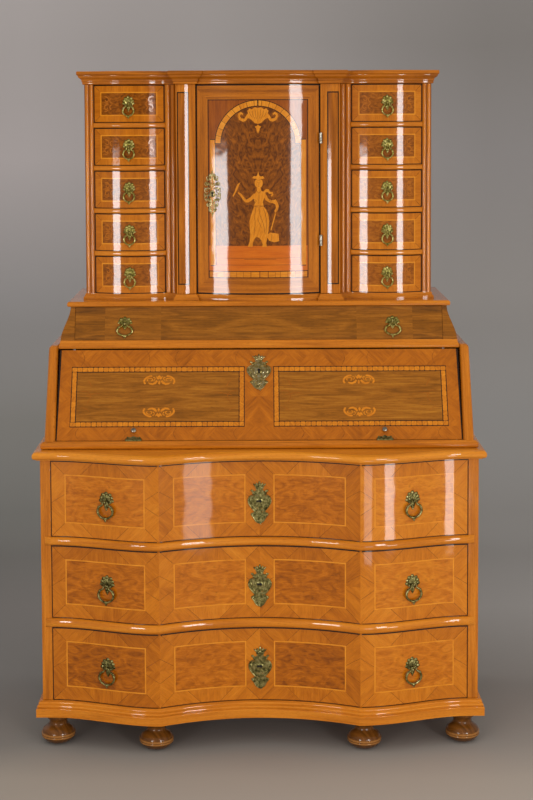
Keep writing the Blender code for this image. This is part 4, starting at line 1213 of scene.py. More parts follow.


# The grooves between the reeds are darkened: painted shade
reeds = {"groove": 0.0018, "relief": 0.92, "grooveTone": -0.7, "steps": 8}
pilasterLook = {"in": 0.0075, "out": 0.026, "line": 0.0036, "up": 0.0215, "foot": 0.026,
                "step": 0.0034, "tone": -0.16,
                # The field rises evenly from its inner side to a ridge and runs on flat
                "swell": 0.0041, "ridge": 0.42}
for side, node in ((-1, "tower_left"), (1, "tower_right")):
    t = tabernacle
    rear, lap = plan["inner"], 0.003
    bm = startMesh()
    for x0, x1 in ((t["towerOut"], t["half"]), (t["pilasterOut"], t["towerIn"])):
        outline = [(x1, rear)] + reededLine(x0, x1, t["towerFront"]) + [(x0, rear)]
        rings = [[Vector((side * x, y, z)) for x, y in outline] for z in (tabLow + slack, tabHigh)]
        addLoft(bm, rings, upright=True, tone=0.04, shift=x0 + side)
    # Painted shade: the flat grooves between the reeds are darkened
    for face in bm.faces:
        c, across = face.calc_center_median(), [abs(v.co.x) for v in face.verts]
        if abs(c.y - t["towerFront"]) < 0.0002 and max(across) - min(across) < reeds["groove"] * 1.2:
            face[bm.faces.layers.float["leafTone"]] = reeds["grooveTone"]
    for row in range(1, t["rows"]):
        z = tabLow + row * pitch - t["divider"]
        rings = []
        for out, up in section(t["rail"]):
            x0, x1 = t["towerIn"] - lap, t["towerOut"] + lap
            line = [(x1, rear), (x1, t["towerFront"])] + [(x, towerBow(x) - out) for x in towerSteps]
            line += [(x0, t["towerFront"]), (x0, rear)]
            rings.append([Vector((side * x, y, z + up)) for x, y in line])
        addLoft(bm, rings, tone=0.06, shift=row * 1.9)
    makePiece(camel(node), bm, ["mouldedWalnut"], replaced=[node], sharp=25)
    # The pilaster: a stringed face that swells a little beside a plain stile next to the door
    p = pilasterLook
    x0, x1 = t["opening"], t["pilasterOut"]
    a0, a1 = x1 - p["out"] - p["in"], x1 - p["in"]
    z0, z1 = tabLow + slack, tabHigh
    bm = startMesh()
    columns = spread([x0, a0 - p["line"], a0, a1, a1 + p["line"], x1], p["step"])
    rows = [z0, z0 + p["foot"], z0 + p["foot"] + p["line"], z1 - p["up"] - p["line"], z1 - p["up"], z1]
    addGrid(bm, columns, rows, flatPlace)
    for face in bm.faces:
        c = face.calc_center_median()
        inner = a0 < c.x < a1 and rows[2] < c.z < rows[3]
        ring = a0 - p["line"] < c.x < a1 + p["line"] and rows[1] < c.z < rows[4] and not inner
        leafFace(bm, face, 1 if ring else 0, pi / 2, p["tone"] if inner else 0, 1 if inner else 3)
    thicken(bm, t["depth"], 2, axis=2)

    def onPilaster(co):
        share = (co.x - a0 + p["line"]) / (a1 - a0 + 2 * p["line"])
        swell = p["swell"] * min(1, share / p["ridge"]) if 0 < share < 1 and co.y < 0.001 else 0
        return Vector((side * co.x, t["pilasterFront"] + co.y - swell, co.z))

    bendTo(bm, onPilaster)
    makePiece("pilaster" + node[6:].capitalize(), bm, ["mouldedWalnut", "ebonised", "mouldedWalnut"],
              bevel=0.0006, sharp=20)
print("towers made")

smallFront = {"thickness": 0.012, "band": 0.019, "line": 0.0034, "step": 0.009, "bandTone": 0.06,
              "bandScatter": 0.16, "edge": 0.0020, "sideTone": 0.05, "scatter": 0.12,
              # How far the polish of a drawer has gone dull
              "worn": {"drawer_small_left_1": 0.9, "drawer_small_left_2": 0.65}}
smallBox = {"side": 0.008, "bottom": 0.006}
# Scrolls beside the pull: half of each, in mm from its middle at x
smallScrolls = {
    "x": 58, "width": 0.0024, "tone": -0.52,
    "stems": [[(-13, 2), (-6, 5), (-5, 12), (-10, 17)], [(-3, 3), (4, 1.5), (13, 4)],
              [(-1, 15), (5, 21), (13, 20)]],
}
for side, hand in ((-1, "left"), (1, "right")):
    for row in range(1, 6):
        node = "drawer_small_%s_%d" % (hand, row)
        low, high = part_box(node)
        bm = startMesh()
        layPanel(bm, low.x, high.x, low.z, high.z, smallFront, seed=row * 1.7,
                 tone=smallFront["sideTone"] * side + smallFront["scatter"] * shade(row * 3 + side))
        thicken(bm, smallFront["thickness"], 3)
        # Painted shade of the gap round the drawer, as a dark edge line
        addEdges(bm, low.x, high.x, low.z, high.z, smallFront["edge"], 4)
        wear = bm.faces.layers.float["worn"]
        for face in bm.faces:
            face[wear] = smallFront["worn"].get(node, 0)
        bowTo(bm, towerBow)
        makePiece(camel(node), bm, ["burrWalnut"] + frontVeneers[1:], body=node, replaced=[node],
                  bevel=0.0005, sharp=20)
        bm = startMesh()
        mid, up = (low.x + high.x) / 2, (low.z + high.z) / 2
        for s in (-1, 1):
            middle = s * smallScrolls["x"]
            for u in (-1, 1):
                lean = 90 - 20 * s * u
                paths = [curl(middle + 5 * s, 11 * u, 8, 2.6, lean, lean + 300 * s * u)]
                paths += [[Vector((middle + a * s, b * u)) for a, b in stem]
                          for stem in smallScrolls["stems"]]
                for path in paths:
                    moved = [v / 1000 + Vector((mid, up)) for v in smoothLine(path, 2)]
                    addInlay(bm, ribbon(moved, smallScrolls["width"]), tone=smallScrolls["tone"], shift=row)
        addMitres(bm, low.x, high.x, low.z, high.z, smallFront["band"], 1)
        bowTo(bm, towerBow)
        makePiece(camel(node) + "Inlay", bm, ["boxwood", "burrWalnut"], body=node)
        makeBox(node, tabernacle["towerFront"] + smallFront["thickness"], **smallBox, shift=row, bevel=0.0004)
print("small drawers veneered")

# Door: its frame and the spandrels are laid first, then the burr field, arch and figure on top

door = {
    "half": 0.175, "thickness": 0.020, "frame": 0.1407, "low": 1.2700, "top": 1.7725, "line": 0.0022,
    "stripIn": 0.1215, "stripOut": 0.1352, "stripLow": 1.3050, "stripTop": 1.6600, "field": 0.1190,
    "ground": 1.3605, "band": 1.2880, "arch": 1.650, "edge": 0.0030, "archIn": 0.1050, "archOut": 0.1212,
    # How far the field's line runs down past its ground, and how far it ends under the arch
    "lineFoot": 0.055, "lineHead": 0.004, "frameTone": -0.12, "groundTone": -0.20, "step": 0.008,
    # Beside the stones of the arch: how far the dark line reaches out, and how far they stay in
    "archLine": 0.0012, "archGap": 0.0008,
    # Tones of the stones and how they scatter, in the arch and in the band
    "archTones": (-0.03, 0.3), "bandTones": (-0.12, 0.2),
    # Stones of the arch with the split in the middle one, the joints between those of the band
    # under the ground, and which of these stand wider
    "stones": 17, "split": (0.44, 0.56), "gap": 0.0005, "wideGap": 0.0014, "wideAt": (6, 7),
    "paving": (-0.1385, -0.118, -0.098, -0.081, -0.062, -0.043, -0.022, 0.0035, 0.028, 0.048, 0.062, 0.083,
               0.104, 0.1385),
    # Scraped lines of the ground: left end, right end and height
    "scraped": ((-0.119, 0.119, 1.3255), (-0.119, 0.119, 1.3060), (-0.040, 0.050, 1.3225)),
}
# The figure is this script's own: outlines and scraped lines in mm from the middle of its ground
figure = {
    "shapes": [
        [(-11, 113), (-16, 101), (-21, 86), (-25, 70), (-24.5, 50), (-23, 33), (-25, 12), (-30, -2),
         (-17, -3), (-15.5, 9), (-10, 21), (-5, 26), (2, 23), (8, 16), (12, 5), (10, -3), (24, -3), (22, 8),
         (25, 22), (29, 45), (31, 70), (28, 90), (22, 103), (14, 113)],
        [(-7, 151), (-15, 144), (-13, 133), (-9, 122), (-12, 114), (15, 114), (13, 124), (17, 136), (22, 147),
         (15, 153), (8, 156), (7, 166), (-4, 166), (-4, 156)],
        [(-12, 149), (-22, 138), (-33, 131), (-40, 138), (-48, 148), (-57, 153), (-56, 147), (-50, 141),
         (-43, 130), (-36, 123), (-27, 123), (-17, 130), (-9, 139)],
        [(16, 152), (24, 143), (27, 135), (36, 129), (45, 130), (49, 132), (55, 122), (58, 112), (55, 101),
         (48, 93), (45, 99), (50, 107), (48, 117), (41, 121), (30, 123), (20, 130), (16, 140)],
        [(14, 154), (22, 161), (30, 160), (33, 153), (41, 152), (43, 145), (38, 139), (35, 143), (38, 147),
         (31, 147), (27, 152), (22, 152), (18, 147)],
        [(47, 92), (50, 91), (37, 44), (34, 45)],
        [(27, 33), (33, 38), (57, 34), (59, 13), (44, 10), (30, 15), (25, 24)],
        [(-73, 141), (-70, 139), (-58, 160), (-54, 171), (-50, 180), (-58, 175), (-64, 163), (-66, 155)],
        [(-10, 190), (-17, 192), (-12, 198), (-7, 197), (-3, 199), (0, 212), (3, 199), (8, 196), (13, 198),
         (18, 191), (12, 189)],
    ],
    "head": (1.5, 177.5, 11.5, 14.0),
    "lines": [
        [(-6, 110), (-10, 85), (-9, 60), (-14, 30)], [(2, 110), (6, 84), (15, 60), (18, 34)], [(14, 108),
        (21, 85), (23, 60), (21, 30)], [(-3, 80), (4, 62), (11, 48)], [(-12, 113), (1, 110), (15, 113)],
        [(-4, 156), (2, 149), (8, 156)], [(2, 148), (2, 132), (1, 118)], [(-13, 133), (-6, 128), (-9, 122)],
        [(-10, 189), (1, 186), (12, 189)], [(-4, 180), (-2.5, 181.2), (-1, 180)], [(4, 180), (5.5, 181.2),
        (7, 180)], [(1.6, 180), (2.6, 175), (0.8, 174)], [(-1.5, 170), (1.5, 168.8), (4.5, 170)], [(38, 34),
        (38, 24), (37, 14)], [(-33, 130), (-38, 134), (-42, 132)], [(30, 133), (34, 127), (40, 127)],
    ],
    "canopy": [(0, 389), (9, 391), (17, 385), (23, 388), (30, 381), (28, 374), (34, 366), (38, 359),
               (46, 360), (51, 367), (48, 372), (42, 369), (41, 374), (48, 378), (55, 374), (57, 366),
               (52, 355), (42, 350), (33, 353), (28, 361), (21, 358), (15, 353), (9, 347), (0, 344)],
    "pendant": [(0, 342), (4, 338), (9, 337), (5, 331), (4, 326), (0, 317)],
    "canopyLines": [[(0, 386), (0, 370), (0, 350)], [(8, 386), (7, 372), (4, 356)], [(16, 382), (14, 370),
                    (9, 358)], [(25, 380), (21, 370), (15, 362)]],
    "width": 0.0008, "tones": (-0.06, 0.10), "canopyTone": -0.04,
}
low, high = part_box("door")
bm = startMesh()
d = door
addGrid(bm, spread([-d["half"], -d["frame"], 0, d["frame"], d["half"]], d["step"]),
        [low.z, d["low"], (d["low"] + d["top"]) / 2, d["top"], high.z], flatPlace)
for cx, sx, cz, sz in cornersOf(-d["frame"], d["frame"], d["low"], d["top"]):
    cutFaces(bm, lambda c: (c.x - cx) * sx < 0 and (c.z - cz) * sz < 0, (cx, 0, cz), (-sz, 0, sx))
for face in bm.faces:
    c = face.calc_center_median()
    beside, above = abs(c.x) - d["frame"], max(c.z - d["top"], d["low"] - c.z)
    framed = beside > 0 or above > 0
    turn = pi / 2 if beside > above or not framed else 0
    leafFace(bm, face, 1 if framed else 0, turn, d["frameTone"], 3, -1 if c.x < 0 else 1)
thicken(bm, d["thickness"], 2)
# Painted shade of the gap round the door, as a dark edge line
addEdges(bm, -d["half"], d["half"], low.z, high.z, d["edge"], 3, d["step"])
bowTo(bm, doorBow)
makePiece("doorBoard", bm, ["plumWood", "mouldedWalnut", "mouldedWalnut", "ebonised"], body="door",
          replaced=["door"], bevel=0.0004)

bm = startMesh()


def addBar(x0, x1, z0, z1, slot, turn=0, tone=0, lift=0.0003, shift=0):
    addInlay(bm, [(x0, z0), (x1, z0), (x1, z1), (x0, z1)], slot, turn, tone, lift, shift, d["step"])


half, line = d["line"] / 2, d["line"]
for z in (d["low"], d["band"], d["top"]):
    addBar(-d["frame"] - half, d["frame"] + half, z - half, z + half, 0)
spring = d["arch"] - d["lineHead"]
for side in (-1, 1):
    # The frame's line, the strip beside the field with its lines, then the field up to the arch
    for a, b, z0, z1, *look in (
            (d["frame"] - half, d["frame"] + half, d["low"], d["top"], 0),
            (d["stripIn"] - line, d["stripIn"], d["ground"] - d["lineFoot"], spring, 0),
            (d["stripIn"], d["stripOut"], d["stripLow"], d["stripTop"], 1, pi / 2, -0.03, 0.0003, side),
            (d["stripIn"], d["stripOut"], d["stripTop"], d["stripTop"] + line, 0),
            (d["stripIn"], d["stripOut"], d["stripLow"] - line, d["stripLow"], 0)):
        addBar(*sorted((side * a, side * b)), z0, z1, *look)
    outline = [(0, d["ground"]), (d["field"], d["ground"]), (d["field"], spring), (d["archIn"], spring)]
    outline += [(d["archIn"] * cos(pi / 40 * k), d["arch"] + d["archIn"] * sin(pi / 40 * k))
                for k in range(21)]
    outline = [(side * x, z) for x, z in outline]
    before = set(bm.faces)
    addInlay(bm, outline)
    for face in addedFaces(bm, before):
        leafFace(bm, face, 2, 1.2, d["groundTone"], 5, side)
    addBar(*sorted((0, side * (d["frame"] - half))), d["band"] + half, d["ground"], 4, 0, 0, 0.0002, 2)
inner, outer = d["archIn"] - d["archLine"], d["archOut"] + d["archLine"]
addInlay(bm, sector(0, d["arch"], inner, outer, -1, 181, 48), 0, lift=0.0004)
inner, outer = d["archIn"] + d["archGap"], d["archOut"] - d["archGap"]
wide = 180 / d["stones"]
for k in range(d["stones"]):
    if k == d["stones"] // 2:
        pieces = [(k * wide, (k + d["split"][0]) * wide), ((k + d["split"][1]) * wide, (k + 1) * wide)]
    else:
        pieces = [(k * wide, (k + 1) * wide)]
    for a0, a1 in pieces:
        tone = d["archTones"][0] + d["archTones"][1] * shade(k + 2)
        stone = sector(0, d["arch"], inner, outer, a0 + 0.25, a1 - 0.25)
        addInlay(bm, stone, 1, radians((a0 + a1) / 2), tone, 0.0006, k * 0.3)
for k, (a, b) in enumerate(zip(d["paving"], d["paving"][1:])):
    gap = d["wideGap"] if k in d["wideAt"] else d["gap"]
    tone = d["bandTones"][0] + d["bandTones"][1] * shade(k)
    addBar(a + gap, b - gap, d["low"] + half, d["band"] - half, 1, 0, tone, 0.0005, k * 0.4)
for x0, x1, z in d["scraped"]:
    addBar(x0, x1, z - 0.0005, z + 0.0005, 3, 0, 0, 0.0004)


def onGround(points, side=1):
    return [(side * x / 1000, d["ground"] + z / 1000) for x, z in points]


def scrape(path, lift, side=1):
    line = [Vector(p) for p in onGround(smoothLine(path, 3), side)]
    addInlay(bm, ribbon(line, figure["width"]), 3, lift=lift)


tone, scatter = figure["tones"]
for k, shape in enumerate(figure["shapes"]):
    addInlay(bm, onGround(shape), 1, 1.3 + 0.2 * shade(k), tone + scatter * shade(k + 5),
             0.0006 + 0.0001 * (k % 3), k)
x, z, wide, tall = figure["head"]
addInlay(bm, onGround([(x + wide * cos(a), z + tall * sin(a)) for a in (pi * k / 12 for k in range(24))]),
         1, 1.4, 0.02, 0.0007, 4)
for side in (-1, 1):
    for k, part in enumerate(("canopy", "pendant")):
        addInlay(bm, onGround(figure[part], side), 1, 1.2, figure["canopyTone"], 0.0006, 7 + k)
    for path in figure["canopyLines"]:
        scrape(path, 0.0008, side)
for path in figure["lines"]:
    scrape(path, 0.0010)
bowTo(bm, doorBow)
makePiece("doorInlay", bm, ["ebonised", "boxwood", "burrWalnut", "stainedBun", "orangeCherry"], body="door")

bm = startMesh()
doorLock = {"edge": 0.012, "level": 0.284, "wide": 0.040, "tall": 0.090, "let": 0.004, "deep": 0.011}
x, z, tall = doorLock["edge"] - d["half"], tabLow + doorLock["level"], doorLock["tall"]
y = doorBow(x) + d["thickness"]
addBlock(bm, (x, y - doorLock["let"], z - tall / 2),
         (x + doorLock["wide"], y + doorLock["deep"], z + tall / 2), 2)
makePiece("doorLock", bm, ["filedIron"], body="door", bevel=0.0006)

knuckle = {"x": 0.1775, "y": -0.0125, "levels": (0.152, 0.442), "radius": 5.0, "length": 30}
r, long = knuckle["radius"], knuckle["length"]
shape = [(0, -1.2), (2, -1), (2.6, 0), (r, 0.4)]
for joint in (long / 3, long * 2 / 3):
    shape += [(r, joint - 0.3), (r - 0.7, joint), (r, joint + 0.3)]
shape += [(r, long - 0.4), (2.6, long), (2, long + 1), (0, long + 1.2)]
for k, level in enumerate(knuckle["levels"]):
    bm = startMesh()
    addTurned(bm, shape, (knuckle["x"], knuckle["y"], tabLow + level - long / 2000), "Z", 20)
    makePiece("doorKnuckle%d" % (k + 1), bm, ["paleBrass"], body="door", sharp=40)
print("door made")

# Fittings: cast plates, built up in mm from flattened lobes, ribs and scrolls


def addLobe(bm, x, z, wide, tall, turn=0, deep=1.6, up=0.3, slot=0):
    # A swelling of a cast plate: its middle, half width and half height, and lean in degrees
    place = (Matrix.Translation((x / 1000, -up / 1000, z / 1000)) @ Matrix.Rotation(radians(turn), 4, "Y")
             @ Matrix.Diagonal((wide / 1000, deep / 1000, tall / 1000, 1)))
    made = bmesh.ops.create_uvsphere(bm, u_segments=14, v_segments=8, radius=1, matrix=place)["verts"]
    for face in facesOf(made):
        face.material_index = slot


def addRib(bm, path, start, end, up):
    # A chased rib or scroll along a path, its radius running from start to end
    points = [Vector((p.x / 1000, -up / 1000, p.y / 1000)) for p in smoothLine(path, 3)]
    radii = [(start + (end - start) * k / (len(points) - 1)) / 1000 for k in range(len(points))]
    addTube(bm, points, radii, 7)


def addPair(bm, shapes):
    # Lobes beside the middle line, each with its mirror image
    for shape in shapes:
        for side in (-1, 1):
            addLobe(bm, *[side * value if k in (0, 4) else value for k, value in enumerate(shape)])


def addRibPair(bm, path, start, end, up):
    for side in (-1, 1):
        addRib(bm, [(side * x, z) for x, z in path], start, end, up)


def palmette():
    # A fan of seven leaves above a hanging leaf
    bm = startMesh()
    addLobe(bm, 0, 8, 14, 13, 0, 1.5)
    addLobe(bm, -0.6, 21.5, 5.4, 5.6, 0, 2.3)
    addPair(bm, [(10, 17.2, 5.6, 5.8, 30, 2.3), (14.6, 9.8, 4.8, 5.2, 60, 2.1),
                 (16.4, 1.8, 5, 5.6, 100, 2.6), (5.5, 10, 2.6, 8, 22, 2.9), (9.5, -4, 3.6, 3.4, 0, 2.5),
                 (16.4, 1.8, 2.2, 2.6, 100, 3.3)])
    addLobe(bm, 0, 11, 2.4, 9, 0, 2.9)
    for path in ([(1.8, -2), (3.4, 8), (5.2, 20)], [(3.4, -3), (8, 6), (13.5, 13.5)],
                 [(4, -4), (10, 1), (18, 4)]):
        addRibPair(bm, path, 1.4, 0.8, 1.9)
    addRibPair(bm, curl(11, -2.6, 4.2, 1.4, 60, -250, 9), 1.3, 0.9, 2)
    addLobe(bm, 0, -9, 7.6, 9.4, 0, 2.1)
    addPair(bm, [(3.2, -12, 2.8, 6.4, -14, 2.9)])
    addLobe(bm, 0, -18.4, 4.8, 4.8, 0, 3.2)
    addLobe(bm, 0, -23, 2.2, 3.4, 0, 2.4)
    return bm


eye = {"out": 9.5, "width": 4, "size": 5, "hole": 2.3, "bar": 1.6}


def addEye(bm):
    # The pierced lug that the bail hangs in
    out, width, size, hole = (eye[k] for k in ("out", "width", "size", "hole"))
    ring = [(hole, -width / 2), (size - 0.5, -width / 2), (size, 0.5 - width / 2), (size, width / 2 - 0.5),
            (size - 0.5, width / 2), (hole, width / 2), (hole, -width / 2)]
    addTurned(bm, ring, (0, -out / 1000, 0), "X", 20)
    addBlock(bm, (-width / 2000, (size - out - 1) / 1000, -0.0024), (width / 2000, 0.004, 0.0024))


def bailMesh(width, drop, wire):
    # A pear-shaped bail: its bar in the eye, two swelling arms and a pointed drop
    half = width / 2 - wire
    arm = [(0.42, 0.17), (0.78, 0.26), (1.02, 0.44), (1.02, 0.62), (0.74, 0.79), (0.34, 0.885), (0, 0.91)]
    arm = [(5.8, 0)] + [(x * half, -z * drop) for x, z in arm]
    sizes = [eye["bar"]] + [wire * share for share in (0.9, 1.15, 1.2, 1.12, 1, 0.95, 1.3)]
    line, radii = smoothLine(arm, 4), []
    for k in range(len(line)):
        a, share = divmod(k / 4, 1)
        after = sizes[min(int(a) + 1, len(sizes) - 1)]
        radii.append(sizes[int(a)] * (1 - share) + after * share)
    line = [Vector((-p.x, p.y)) for p in line] + line[-2::-1]
    radii += radii[-2::-1]
    bm = startMesh()
    addTube(bm, [Vector((p.x, 0, p.y)) / 1000 for p in line], [r / 1000 for r in radii], 10, closed=True)
    addLobe(bm, 0, -0.93 * drop, wire * 2.1, wire * 1.5, 0, wire * 1.4, 0)
    addLobe(bm, 0, -0.93 * drop - wire * 1.4, wire * 1.1, wire * 1.7, 0, wire, 0)
    addPair(bm, [(0.86 * half, -0.29 * drop, wire * 1.35, wire * 1.35, 20, wire * 1.35, 0)])
    return bm


def placeCopy(name, mesh, place, metal, body, replaced=()):
    copy = mesh.copy()
    copy.name = name
    copy.transform(place)
    placePiece(name, copy, [metal], body, replaced, sharp=50)


pulls = {
    # kind: bail width, drop and wire, share of the large plate across and up, tilt, kick, metal
    "large": (48, 50, 2.9, 1, 1, 0, 0, "agedBrass"),
    "tier": (46, 37, 2.5, 0.96, 0.72, -atan(tier["run"] * 1.5 / tierTall), 6.8, "brightBrass"),
    "small": (34, 38, 2.3, 0.80, 0.86, 0, 0, "brightBrass"),
}
bails, plates = {}, {}
for kind, (width, drop, wire, across, up, tilt, kick, metal) in pulls.items():
    bails[kind] = keepMesh(kind + "BailShape", bailMesh(width, drop, wire))
    bm = palmette()
    moveMesh(bm, Matrix.Rotation(tilt, 4, "X") @ Matrix.Diagonal((across, 1, up, 1)))
    addEye(bm)
    plates[kind] = keepMesh(kind + "PlateShape", bm)
for joint in frame["joints"]:
    node = joint["child"]
    if not node.startswith("pull_"):
        continue
    kind = next((kind for kind in ("tier", "small") if kind in node), "large")
    width, drop, wire, across, up, tilt, kick, metal = pulls[kind]
    way = Vector(joint["axis"])
    turn = atan(way.y / way.x)
    hang = Matrix.Translation(joint["pos_m"]) @ Matrix.Rotation(turn, 4, "Z")
    lean = Matrix.Rotation(-asin(kick / drop), 4, "X")
    placeCopy(camel(node), bails[kind], hang @ lean, metal, node, [node])
    seat = hang @ Matrix.Translation((0, eye["out"] / 1000, 0))
    placeCopy(camel(node) + "Plate", plates[kind], seat, metal, joint["parent"])
print("pulls hung")


def keyhole(bm, upright, up, size):
    # A keyhole laid as a dark sheet in the shape of a round hole over a slot that widens, standing or lying:
    # painted shade of the hole
    shape = [(size * 2.6 * cos(a), size * (1.6 + 2.6 * sin(a)))
             for a in (radians(-60 + 300 * k / 14) for k in range(15))]
    shape += [(-size * 1.9, -size * 5.6), (size * 1.9, -size * 5.6)]
    if not upright:
        shape = [(z, x) for x, z in shape]
    addInlay(bm, [(x / 1000, z / 1000) for x, z in shape], 1, lift=up / 1000, step=0)


def addPlate(bm, outline, thick):
    whole = outline + [(-x, z) for x, z in reversed(outline) if x]
    addInlay(bm, [(x / 1000, z / 1000) for x, z in whole], lift=thick / 1000, step=0.008)


def largeEscutcheon(upright=False):
    # A pierced cartouche: crown of leaves, waist, scrolled heart round the keyhole, ribbed foot
    bm = startMesh()
    addPlate(bm, [(0, 50), (5, 46), (12, 46), (11, 36), (8, 30), (16, 26), (17, 18), (12, 15), (20, 14),
                  (28, 9), (30.5, 0), (27, -11), (20, -22), (14, -28), (20, -34), (19, -41), (14, -50),
                  (8, -58), (0, -60)], 1.1)
    addLobe(bm, 0, 48, 3.4, 7, 0, 2.4)
    addPair(bm, [(6.6, 45, 2.8, 6.4, 22, 2.4), (12.6, 43.5, 2.4, 6.6, 44, 2.3), (5.2, 37.5, 4, 4, 0, 2.6),
                 (20, 28, 4.8, 3.4, -28, 2.5), (16.5, 22, 3.6, 3.4, 20, 2.4), (20, -37, 4.4, 4.6, 20, 2.3),
                 (12, -1, 2.6, 9, 8, 2.4), (24, 1, 3.4, 10, 14, 2.7), (16, -16, 3.2, 8, 32, 2.5)])
    addLobe(bm, 0, 39.5, 4.4, 5, 0, 2.8)
    heart = [(5, 14), (14, 17), (24, 15), (30, 7), (30.5, -3), (25, -14), (17, -24), (10, -30)]
    tail = [(10, -30), (17, -32), (21, -38), (16, -46), (11, -55), (4, -60), (0, -61)]
    for path, start, end in (([(2.5, 36), (4.5, 28), (2.5, 21), (5, 14)], 1.5, 1.1), (heart, 1.3, 1.6),
                             (curl(22.5, 7, 5.6, 1.6, 100, -240, 10), 1.3, 0.9),
                             ([(9, 26), (15, 24), (19, 30), (24, 31)], 1.3, 0.8),
                             ([(6, -12), (11, -17), (9, -24), (3, -27)], 1.2, 0.9), (tail, 1.4, 1.4)):
        addRibPair(bm, path, start, end, 1.6)
    for k in range(5):
        z = -31 - 5.6 * k
        reach = 12 - 1.5 * k
        addRib(bm, [(-reach, z), (-reach * 0.2, z - 4.8), (reach * 0.7, z - 11)], 1.1, 1.0, 1.5)
    addRib(bm, [(-3, -46), (3, -40), (9, -37)], 0.9, 0.8, 1.7)
    addLobe(bm, 0, 0, 9.5, 8.5, 0, 1.8)
    for x, z, size in ((6.6, 15.5, 2), (6.2, 27, 1.6), (6, -19.5, 2.1), (7.5, -30, 1.7)):
        for side in (-1, 1):
            addLobe(bm, side * x, z, size, size, 0, 1.35, 0, 2)
    keyhole(bm, upright, 3.1, size=1.45)
    return bm


# How far under the middle of a drawer, and how far up the flap; at which point of the door
keyPlates = {"under": 0.007, "upFlap": 0.199, "across": 1.06, "tall": 0.9, "doorX": -0.130, "doorZ": 1.5075}
for name in ("upper", "middle", "lower"):
    low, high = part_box("drawer_" + name)
    bm = largeEscutcheon()
    level = (low.z + high.z) / 2 - keyPlates["under"]
    bendTo(bm, lambda co: Vector((co.x, co.y + serpentine(co.x), co.z + level)))
    makePiece(name + "Escutcheon", bm, ["agedBrass", "keyholeDark", "figuredWalnut"], body="drawer_" + name,
              sharp=50)
bm = largeEscutcheon(True)
moveMesh(bm, Matrix.Translation((0, 0, keyPlates["upFlap"]))
         @ Matrix.Diagonal((keyPlates["across"], 1, keyPlates["tall"], 1)))
moveMesh(bm, onFlap)
makePiece("flapEscutcheon", bm, ["giltBrass", "keyholeDark", "figuredWalnut"], body="flap", sharp=50)

# Hinge plates let in flush at the foot of the flap, which lies flat on the ledge when it is open
hingePlate = [(0, 12), (4, 11), (7, 8.4), (10.5, 9.6), (13.4, 8), (15.4, 10.6), (18.6, 10), (19.6, 6),
              (17.6, 2.4), (13, 1), (0, 0.8)]
for sign, hand in ((-1, "left"), (1, "right")):
    bm = startMesh()
    addPlate(bm, hingePlate, 0.25)
    moveMesh(bm, onFlap @ Matrix.Translation((sign * hingeBarrel["x"], 0, 0)))
    makePiece("flapPlate" + hand.capitalize(), bm, ["agedBrass"], body="flap", sharp=50)

# The door's escutcheon is openwork foliage, without a ground
bm = startMesh()
addLobe(bm, 0, 0, 7.5, 11, 0, 1.6)
for level, reach, count in ((54, 9, 3), (42, 16, 4), (28, 19, 4), (13, 24, 4), (-3, 25, 4), (-18, 20, 4),
                            (-32, 16, 3), (-45, 11, 3)):
    for k in range(count):
        share = (k + 0.5) / count
        x = reach * (0.25 + 0.75 * share)
        z = level + 5.5 * shade(level + k * 3)
        addPair(bm, [(x, z, 1.9, 5.0, 25 + 70 * shade(k * 5 + level), 2.3)])
addLobe(bm, 0, 60, 2.4, 6, 0, 2.4)
addLobe(bm, 0, -60, 2, 5, 0, 2.2)
for path in (curl(12, 44, 7, 2, 200, -140, 10), curl(17, 27, 6.5, 2, 160, -190, 10),
             curl(15, 8, 8.5, 3, 100, -230, 12), curl(16, -12, 7.5, 2.5, 70, -250, 10),
             curl(10, -32, 7, 2, 80, -230, 10), [(0, 56), (4, 40), (2, 24), (5, 12)],
             [(5, -12), (3, -26), (8, -40), (3, -52), (0, -62)]):
    addRibPair(bm, path, 1.4, 0.9, 1.5)
for k in range(6):
    addRib(bm, [(-11 + 0.9 * k, -20 - 6 * k), (0, -25 - 6 * k), (10 - 0.9 * k, -31 - 5 * k)], 1.0, 0.8, 1.7)
keyhole(bm, True, 3.0, size=1.4)
x, z = keyPlates["doorX"], keyPlates["doorZ"]
bendTo(bm, lambda co: Vector((co.x + x, co.y + doorBow(co.x + x), co.z + z)))
makePiece("doorEscutcheon", bm, ["giltBrass", "keyholeDark"], body="door", sharp=50)
print("escutcheons cast")

# Camera, light and floor

camera = bpy.data.cameras.new("Camera")
camera.sensor_fit, camera.sensor_height, camera.sensor_width = "VERTICAL", 36, 36
view = {"lens": 72.9, "place": (0.0, -4.6, 1.72), "pitch": 3.7, "roll": -0.24, "shiftX": 0.0102,
        "shiftY": -0.221}
camera.lens, camera.shift_x, camera.shift_y = view["lens"], view["shiftX"], view["shiftY"]
viewer = bpy.data.objects.new("Camera", camera)
bpy.context.collection.objects.link(viewer)
viewer.matrix_world = (Matrix.Translation(view["place"])
                       @ Matrix.Rotation(radians(90 - view["pitch"]), 4, "X")
                       @ Matrix.Rotation(radians(view["roll"]), 4, "Z"))
bpy.context.scene.camera = viewer

lamps = {
    # name: place, aim, width, height, watts, spread in degrees
    "boxRight": ((2.67, -4.96, 1.20), (0, -0.15, 1.20), 0.85, 1.50, 64, 180),
    "boxLeft": ((-2.67, -4.96, 1.02), (0, -0.15, 1.02), 1.05, 0.96, 50, 180),
    "stripLow": ((1.33, -1.69, 0.28), (0.42, -0.26, 0.42), 0.21, 0.34, 0.56, 100),
    "stripSoft": ((0.63, -1.69, 0.30), (-0.10, -0.26, 0.42), 0.27, 0.36, 0.32, 100),
}
for name, (place, aim, wide, tall, watts, fan) in lamps.items():
    lamp = bpy.data.lights.new(name, "AREA")
    lamp.shape, lamp.size, lamp.size_y, lamp.energy = "RECTANGLE", wide, tall, watts
    lamp.spread = radians(fan)
    holder = bpy.data.objects.new(name, lamp)
    bpy.context.collection.objects.link(holder)
    holder.location = place
    holder.rotation_euler = (Vector(aim) - Vector(place)).to_track_quat("-Z", "Y").to_euler()

